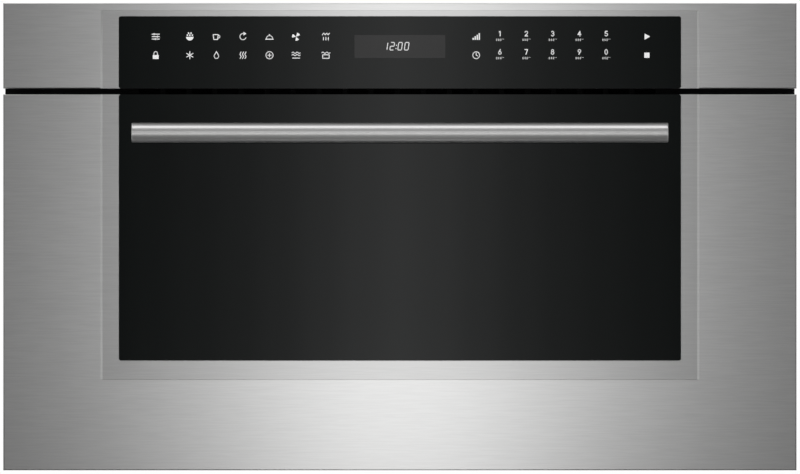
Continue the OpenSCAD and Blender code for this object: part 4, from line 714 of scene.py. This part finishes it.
def printed_keys():
    ink = Surface("key_print", (0.77, 0.77, 0.77), roughness=0.5)
    ink.color(ink.blend(ink.noise(2500, detail=1), (0.7, 0.7, 0.7), (0.83, 0.83, 0.83)))
    # Painted light: the printed ink glows a little, though no lamp lights it.
    ink.lit((0.93, 0.93, 0.93), 0.18)
    marks = Print(glass_y, PRINT_T)
    for px, upper, lower in LEFT_KEYS + SIDE_KEYS:
        draw_icon(marks, upper, px, ICON_ROWS[0])
        draw_icon(marks, lower, px, ICON_ROWS[1])
    for row, word in zip(DIGIT_ROWS, ("12345", "67890")):
        for px, digit in zip(DIGIT_COLUMNS, word):
            draw_digit(marks, digit, across(px), up(row))
            draw_small_marks(marks, across(px), up(row + MARKS_BELOW))
    marks.finished("key_print", ink)


# Seven-segment clock on the glass

SEGMENTS = {
    "a": [(0, 1), (1, 1)], "b": [(1, 0.5), (1, 1)], "c": [(1, 0), (1, 0.5)], "d": [(0, 0), (1, 0)],
    "e": [(0, 0), (0, 0.5)], "f": [(0, 0.5), (0, 1)], "g": [(0, 0.5), (1, 0.5)],
}
DIGITS = {"0": "abcdef", "1": "bc", "2": "abged"}
CLOCK_TIME = "1200"
CLOCK_COLUMNS = (383.1, 389.8, 397.7, 404.3)
COLON_COLUMN = 395.8
COLON_HEIGHTS = (0.2, 0.62)
COLON_R = 0.55 * MM
CLOCK_LOW = up(50.0)
CLOCK_DIGIT_W = 3.6 * MM
CLOCK_DIGIT_H = 7.25 * MM
CLOCK_SLANT = 0.14
CLOCK_STROKE = 0.82 * MM
CLOCK_PROUD = 0.05 * MM     # how far the clock's light stands before the keys' print
LEVEL_TRIM = 0.144          # gaps at the ends of a level segment, as a share of the digit's width
UPRIGHT_END_TRIM = 0.09     # gaps of an upright one, as a share of the height: at the digit's ends
UPRIGHT_MID_TRIM = 0.054    # and at its middle


def segment_ends(name):
    """Both ends of a segment, drawn in a little from its corners."""
    (ax, az), (bx, bz) = SEGMENTS[name]
    if az == bz:
        return (ax + LEVEL_TRIM, az), (bx - LEVEL_TRIM, bz)
    low_trim = UPRIGHT_END_TRIM if az == 0 else UPRIGHT_MID_TRIM
    high_trim = UPRIGHT_END_TRIM if bz == 1 else UPRIGHT_MID_TRIM
    return (ax, az + low_trim), (bx, bz - high_trim)


def clock_point(left, x, z):
    """A point of a slanted digit, from shares of its width and height."""
    return left + x * CLOCK_DIGIT_W + z * CLOCK_DIGIT_H * CLOCK_SLANT, CLOCK_LOW + z * CLOCK_DIGIT_H


def lit_clock():
    light = Surface("clock_light", (0.5, 0.5, 0.5), roughness=0.4)
    light.lit(light.blend(light.noise(900, detail=1), (0.85, 0.85, 0.85), (1, 1, 1)), 0.37)
    marks = Print(glass_y - CLOCK_PROUD, PRINT_T)
    for digit, px in zip(CLOCK_TIME, CLOCK_COLUMNS):
        for name in DIGITS[digit]:
            marks.line([clock_point(across(px), x, z) for x, z in segment_ends(name)], CLOCK_STROKE)
    for z in COLON_HEIGHTS:
        marks.disc(*clock_point(across(COLON_COLUMN), 0, z), COLON_R)
    marks.finished("clock_digits", light)


WINDOW_LEFT = across(354.5)
WINDOW_RIGHT = across(445.3)
WINDOW_LOW = up(57.9)
WINDOW_HIGH = up(35.0)
FILTER_T = 0.05 * MM


def display_window():
    """Paler filter round the clock, level with the glass."""
    tint = Surface("display_filter", (0.021, 0.021, 0.021), roughness=0.05, ior=1.283)
    tint.color(tint.blend(tint.noise(60, detail=1), (0.02, 0.02, 0.02), (0.023, 0.023, 0.023)))
    marks = Print(glass_y, FILTER_T)
    marks.face([(WINDOW_LEFT, WINDOW_LOW), (WINDOW_RIGHT, WINDOW_LOW),
                (WINDOW_RIGHT, WINDOW_HIGH), (WINDOW_LEFT, WINDOW_HIGH)])
    marks.finished("display_filter", tint)


printed_keys()
lit_clock()
display_window()


# Studio


def stage_object(name, data, material, seen=True):
    """A thing of the studio. Where it isn't seen, it shows in reflections alone."""
    data.materials.append(material)
    item = bpy.data.objects.new(name, data)
    bpy.context.scene.collection.objects.link(item)
    item.visible_camera = seen
    item.visible_diffuse = seen
    item.visible_shadow = seen


def level(nodes, value, stops):
    """Strength along a value, from stops of (place, strength)."""
    low, high = stops[0][0], stops[-1][0]
    peak = max(strength for _, strength in stops)
    ramp = nodes.add("ShaderNodeValToRGB", {0: nodes.ranged(value, low, high, 0, 1)})
    ramp.color_ramp.interpolation = "EASE"
    elements = ramp.color_ramp.elements
    while len(elements) < len(stops):
        elements.new(0.5)
    for element, (place, strength) in zip(elements, stops):
        element.position = (place - low) / (high - low)
        element.color = (strength / peak,) * 3 + (1,)
    return nodes.math("MULTIPLY", ramp.outputs[0], peak)


def glow(name, *curves):
    """Emission that is the product of curves, each a value from the position and its stops."""
    material = bpy.data.materials.new(name)
    material.use_nodes = True
    material.node_tree.nodes.clear()
    nodes = Nodes(material.node_tree)
    strength = 1.0
    for value, stops in curves:
        strength = nodes.math("MULTIPLY", strength, level(nodes, value(nodes), stops))
    light = nodes.add("ShaderNodeEmission", {"Strength": strength})
    nodes.add("ShaderNodeOutputMaterial", {0: light.outputs[0]})
    return material


def bearing(nodes):
    """Degrees away from straight in front, seen from the middle of the scene."""
    side = nodes.math("ABSOLUTE", nodes.axis("X"))
    ahead = nodes.math("MULTIPLY", nodes.axis("Y"), -1)
    return nodes.math("DEGREES", nodes.math("ARCTAN2", side, ahead))


def height(nodes):
    return nodes.axis("Z")


def depth(nodes):
    return nodes.axis("Y")


def off_centre(nodes):
    return nodes.math("ABSOLUTE", nodes.axis("X"))


def soft_lamp():
    """Large lamp above and to the left, for the shape of matt surfaces and the shadow on the floor."""
    data = bpy.data.lights.new("softbox", "AREA")
    data.shape = "RECTANGLE"
    data.size = 1.8
    data.size_y = 1.4
    data.energy = 26
    aim = Vector((0, 0.15, 0.2))
    item = bpy.data.objects.new("softbox", data)
    item.location = (-0.7, -1.0, 2.2)
    item.rotation_euler = (aim - item.location).to_track_quat("-Z", "Y").to_euler()
    item.visible_glossy = False
    bpy.context.scene.collection.objects.link(item)


CYCLORAMA_R = 1.5
CYCLORAMA_STEPS = 60
CYCLORAMA_BEARINGS = [
    (0, 1.98), (1.7, 1.72), (3.3, 1.35), (5, 0.98), (6.7, 0.72), (8.4, 0.55), (10.5, 0.4), (12, 0.29),
    (17, 0.07), (24, 0.08), (36, 0.36), (78, 0.38), (86, 0.62), (94, 0.62), (102, 0.4), (125, 0.3),
]
CYCLORAMA_HEIGHTS = [
    (-0.12, 1.35), (0.0, 1.15), (0.15, 1.02), (0.3, 0.98), (0.5, 0.96), (0.7, 0.84), (0.95, 0.52),
    (1.22, 0.34), (1.5, 0.6), (1.8, 0.98), (2.3, 1.15),
]


def cyclorama():
    """Curved screen before the oven, bright in its middle, for the gradients on steel and glass."""
    half_angle = CYCLORAMA_BEARINGS[-1][0]
    z0, z1 = CYCLORAMA_HEIGHTS[0][0], CYCLORAMA_HEIGHTS[-1][0]
    shape = bmesh.new()
    columns = []
    for k in range(CYCLORAMA_STEPS + 1):
        a = math.radians(-half_angle + 2 * half_angle * k / CYCLORAMA_STEPS)
        x, y = CYCLORAMA_R * math.sin(a), -CYCLORAMA_R * math.cos(a)
        columns.append((shape.verts.new((x, y, z0)), shape.verts.new((x, y, z1))))
    for (a, b), (c, d) in zip(columns, columns[1:]):
        shape.faces.new((a, c, d, b))
    light = glow("cyclorama", (bearing, CYCLORAMA_BEARINGS), (height, CYCLORAMA_HEIGHTS))
    stage_object("cyclorama", mesh_from(shape, "cyclorama"), light, seen=False)


def panel(name, half_width, stops, z0, z1, *curves):
    """A flat rectangle as deep as its stops reach, with its front edge at z0 and its rear edge at z1."""
    x, y0, y1 = half_width, stops[0][0], stops[-1][0]
    data = bpy.data.meshes.new(name)
    data.from_pydata([(-x, y0, z0), (x, y0, z0), (x, y1, z1), (-x, y1, z1)], [], [(0, 1, 2, 3)])
    stage_object(name, data, glow(name, (depth, stops), *curves), seen=False)


OVERHEAD_Z = 2.3
OVERHEAD_DEPTHS = [
    (-1.5, 0.6), (-1.15, 1.25), (-0.5, 1.25), (-0.22, 0.75), (0, 0.45), (0.3, 0.25), (0.7, 0.15),
    (1.4, 0.1),
]
CARD_DEPTHS = [
    (-1.45, 0.6), (-1.25, 0.45), (-0.75, 0.2), (-0.5, 0.11), (-0.3, 0.08), (-0.1, 0.06), (-0.06, 0.15),
    (0.01, 0.3),
]
CARD_WIDTHS = [(0, 2.5), (0.1, 1.7), (0.19, 0.6), (0.6, 0.5), (1.3, 0.5)]

FLOOR_Z = -0.125
FLOOR_R = 2.6
FLOOR_MIDDLE_Y = 0.2
FADE_START = 0.7
FADE_END = 2.2


def plain_floor():
    """Pale floor that fades into the white surroundings far from the oven."""
    s = Surface("floor", (0.82, 0.82, 0.82), roughness=0.7)
    away = s.add("ShaderNodeVectorMath", {0: s.place()}, operation="LENGTH").outputs["Value"]
    s.whitened(s.ranged(away, FADE_START, FADE_END, 0, 1, interpolation_type="SMOOTHSTEP"))
    shape = bmesh.new()
    bmesh.ops.create_circle(shape, cap_ends=True, segments=96, radius=FLOOR_R,
                            matrix=Matrix.Translation((0, FLOOR_MIDDLE_Y, FLOOR_Z)))
    stage_object("floor", mesh_from(shape, "floor"), s.material)


PLINTH_LOW = Vector((-0.33, 0.012, FLOOR_Z))
PLINTH_HIGH = Vector((0.33, 0.52, -0.0005))
PLINTH_EDGE = 3 * MM
PLINTH_FACE = PLINTH_LOW.y + PLINTH_EDGE + 0.5 * MM    # just behind the rounded edge of its front
WHITE_FROM = -0.035            # the front turns white between these heights
WHITE_ABOVE = -0.013


def plinth():
    """Pale block in place of the cabinet's shelf, white to the camera right under the door."""
    s = Surface("plinth", (0.86, 0.86, 0.86), roughness=0.6)
    band = s.ranged(s.axis("Z"), WHITE_FROM, WHITE_ABOVE, 0, 1)
    at_front = s.math("LESS_THAN", s.axis("Y"), PLINTH_FACE)
    seen = s.add("ShaderNodeLightPath").outputs["Is Camera Ray"]
    s.whitened(s.math("MULTIPLY", s.math("MULTIPLY", band, at_front), seen))
    middle = Matrix.Translation((PLINTH_LOW + PLINTH_HIGH) / 2)
    size = Matrix.Diagonal((*(PLINTH_HIGH - PLINTH_LOW), 1))
    shape = bmesh.new()
    bmesh.ops.create_cube(shape, size=1, matrix=middle @ size)
    bmesh.ops.bevel(shape, geom=shape.edges[:], offset=PLINTH_EDGE, segments=3, affect="EDGES")
    stage_object("plinth", mesh_from(shape, "plinth"), s.material)


def surroundings():
    """White to the camera and in reflections, softer for the light on matt surfaces."""
    world = bpy.data.worlds.new("studio")
    bpy.context.scene.world = world
    world.use_nodes = True
    world.node_tree.nodes.clear()
    nodes = Nodes(world.node_tree)
    path = nodes.add("ShaderNodeLightPath")
    seen = path.outputs["Is Camera Ray"]
    for name in ("Is Glossy Ray", "Is Transmission Ray"):
        seen = nodes.math("MAXIMUM", seen, path.outputs[name])
    soft = nodes.add("ShaderNodeBackground", {"Color": (0.6, 0.6, 0.6, 1)})
    white = nodes.add("ShaderNodeBackground", {"Color": (1, 1, 1, 1)})
    mix = nodes.add("ShaderNodeMixShader", {0: seen, 1: soft.outputs[0], 2: white.outputs[0]})
    nodes.add("ShaderNodeOutputWorld", {0: mix.outputs[0]})


def camera():
    """Long lens from far away, as the photograph shows no perspective."""
    data = bpy.data.cameras.new("camera")
    data.lens = 500
    data.sensor_width = 36
    data.clip_end = 200
    away = IMAGE_W * PIXEL / data.sensor_width * data.lens
    item = bpy.data.objects.new("camera", data)
    item.location = (across(IMAGE_W / 2), front_y - away, up(IMAGE_H / 2))
    item.rotation_euler = (math.pi / 2, 0, 0)
    bpy.context.scene.collection.objects.link(item)
    bpy.context.scene.camera = item


cyclorama()
panel("overhead", 1.6, OVERHEAD_DEPTHS, OVERHEAD_Z, OVERHEAD_Z)
panel("dark_floor_card", 1.3, CARD_DEPTHS, FLOOR_Z + 6 * MM, FLOOR_Z + 4 * MM,
      (off_centre, CARD_WIDTHS))
soft_lamp()
plain_floor()
plinth()
surroundings()
camera()

view = bpy.context.scene.view_settings
view.view_transform = "Standard"
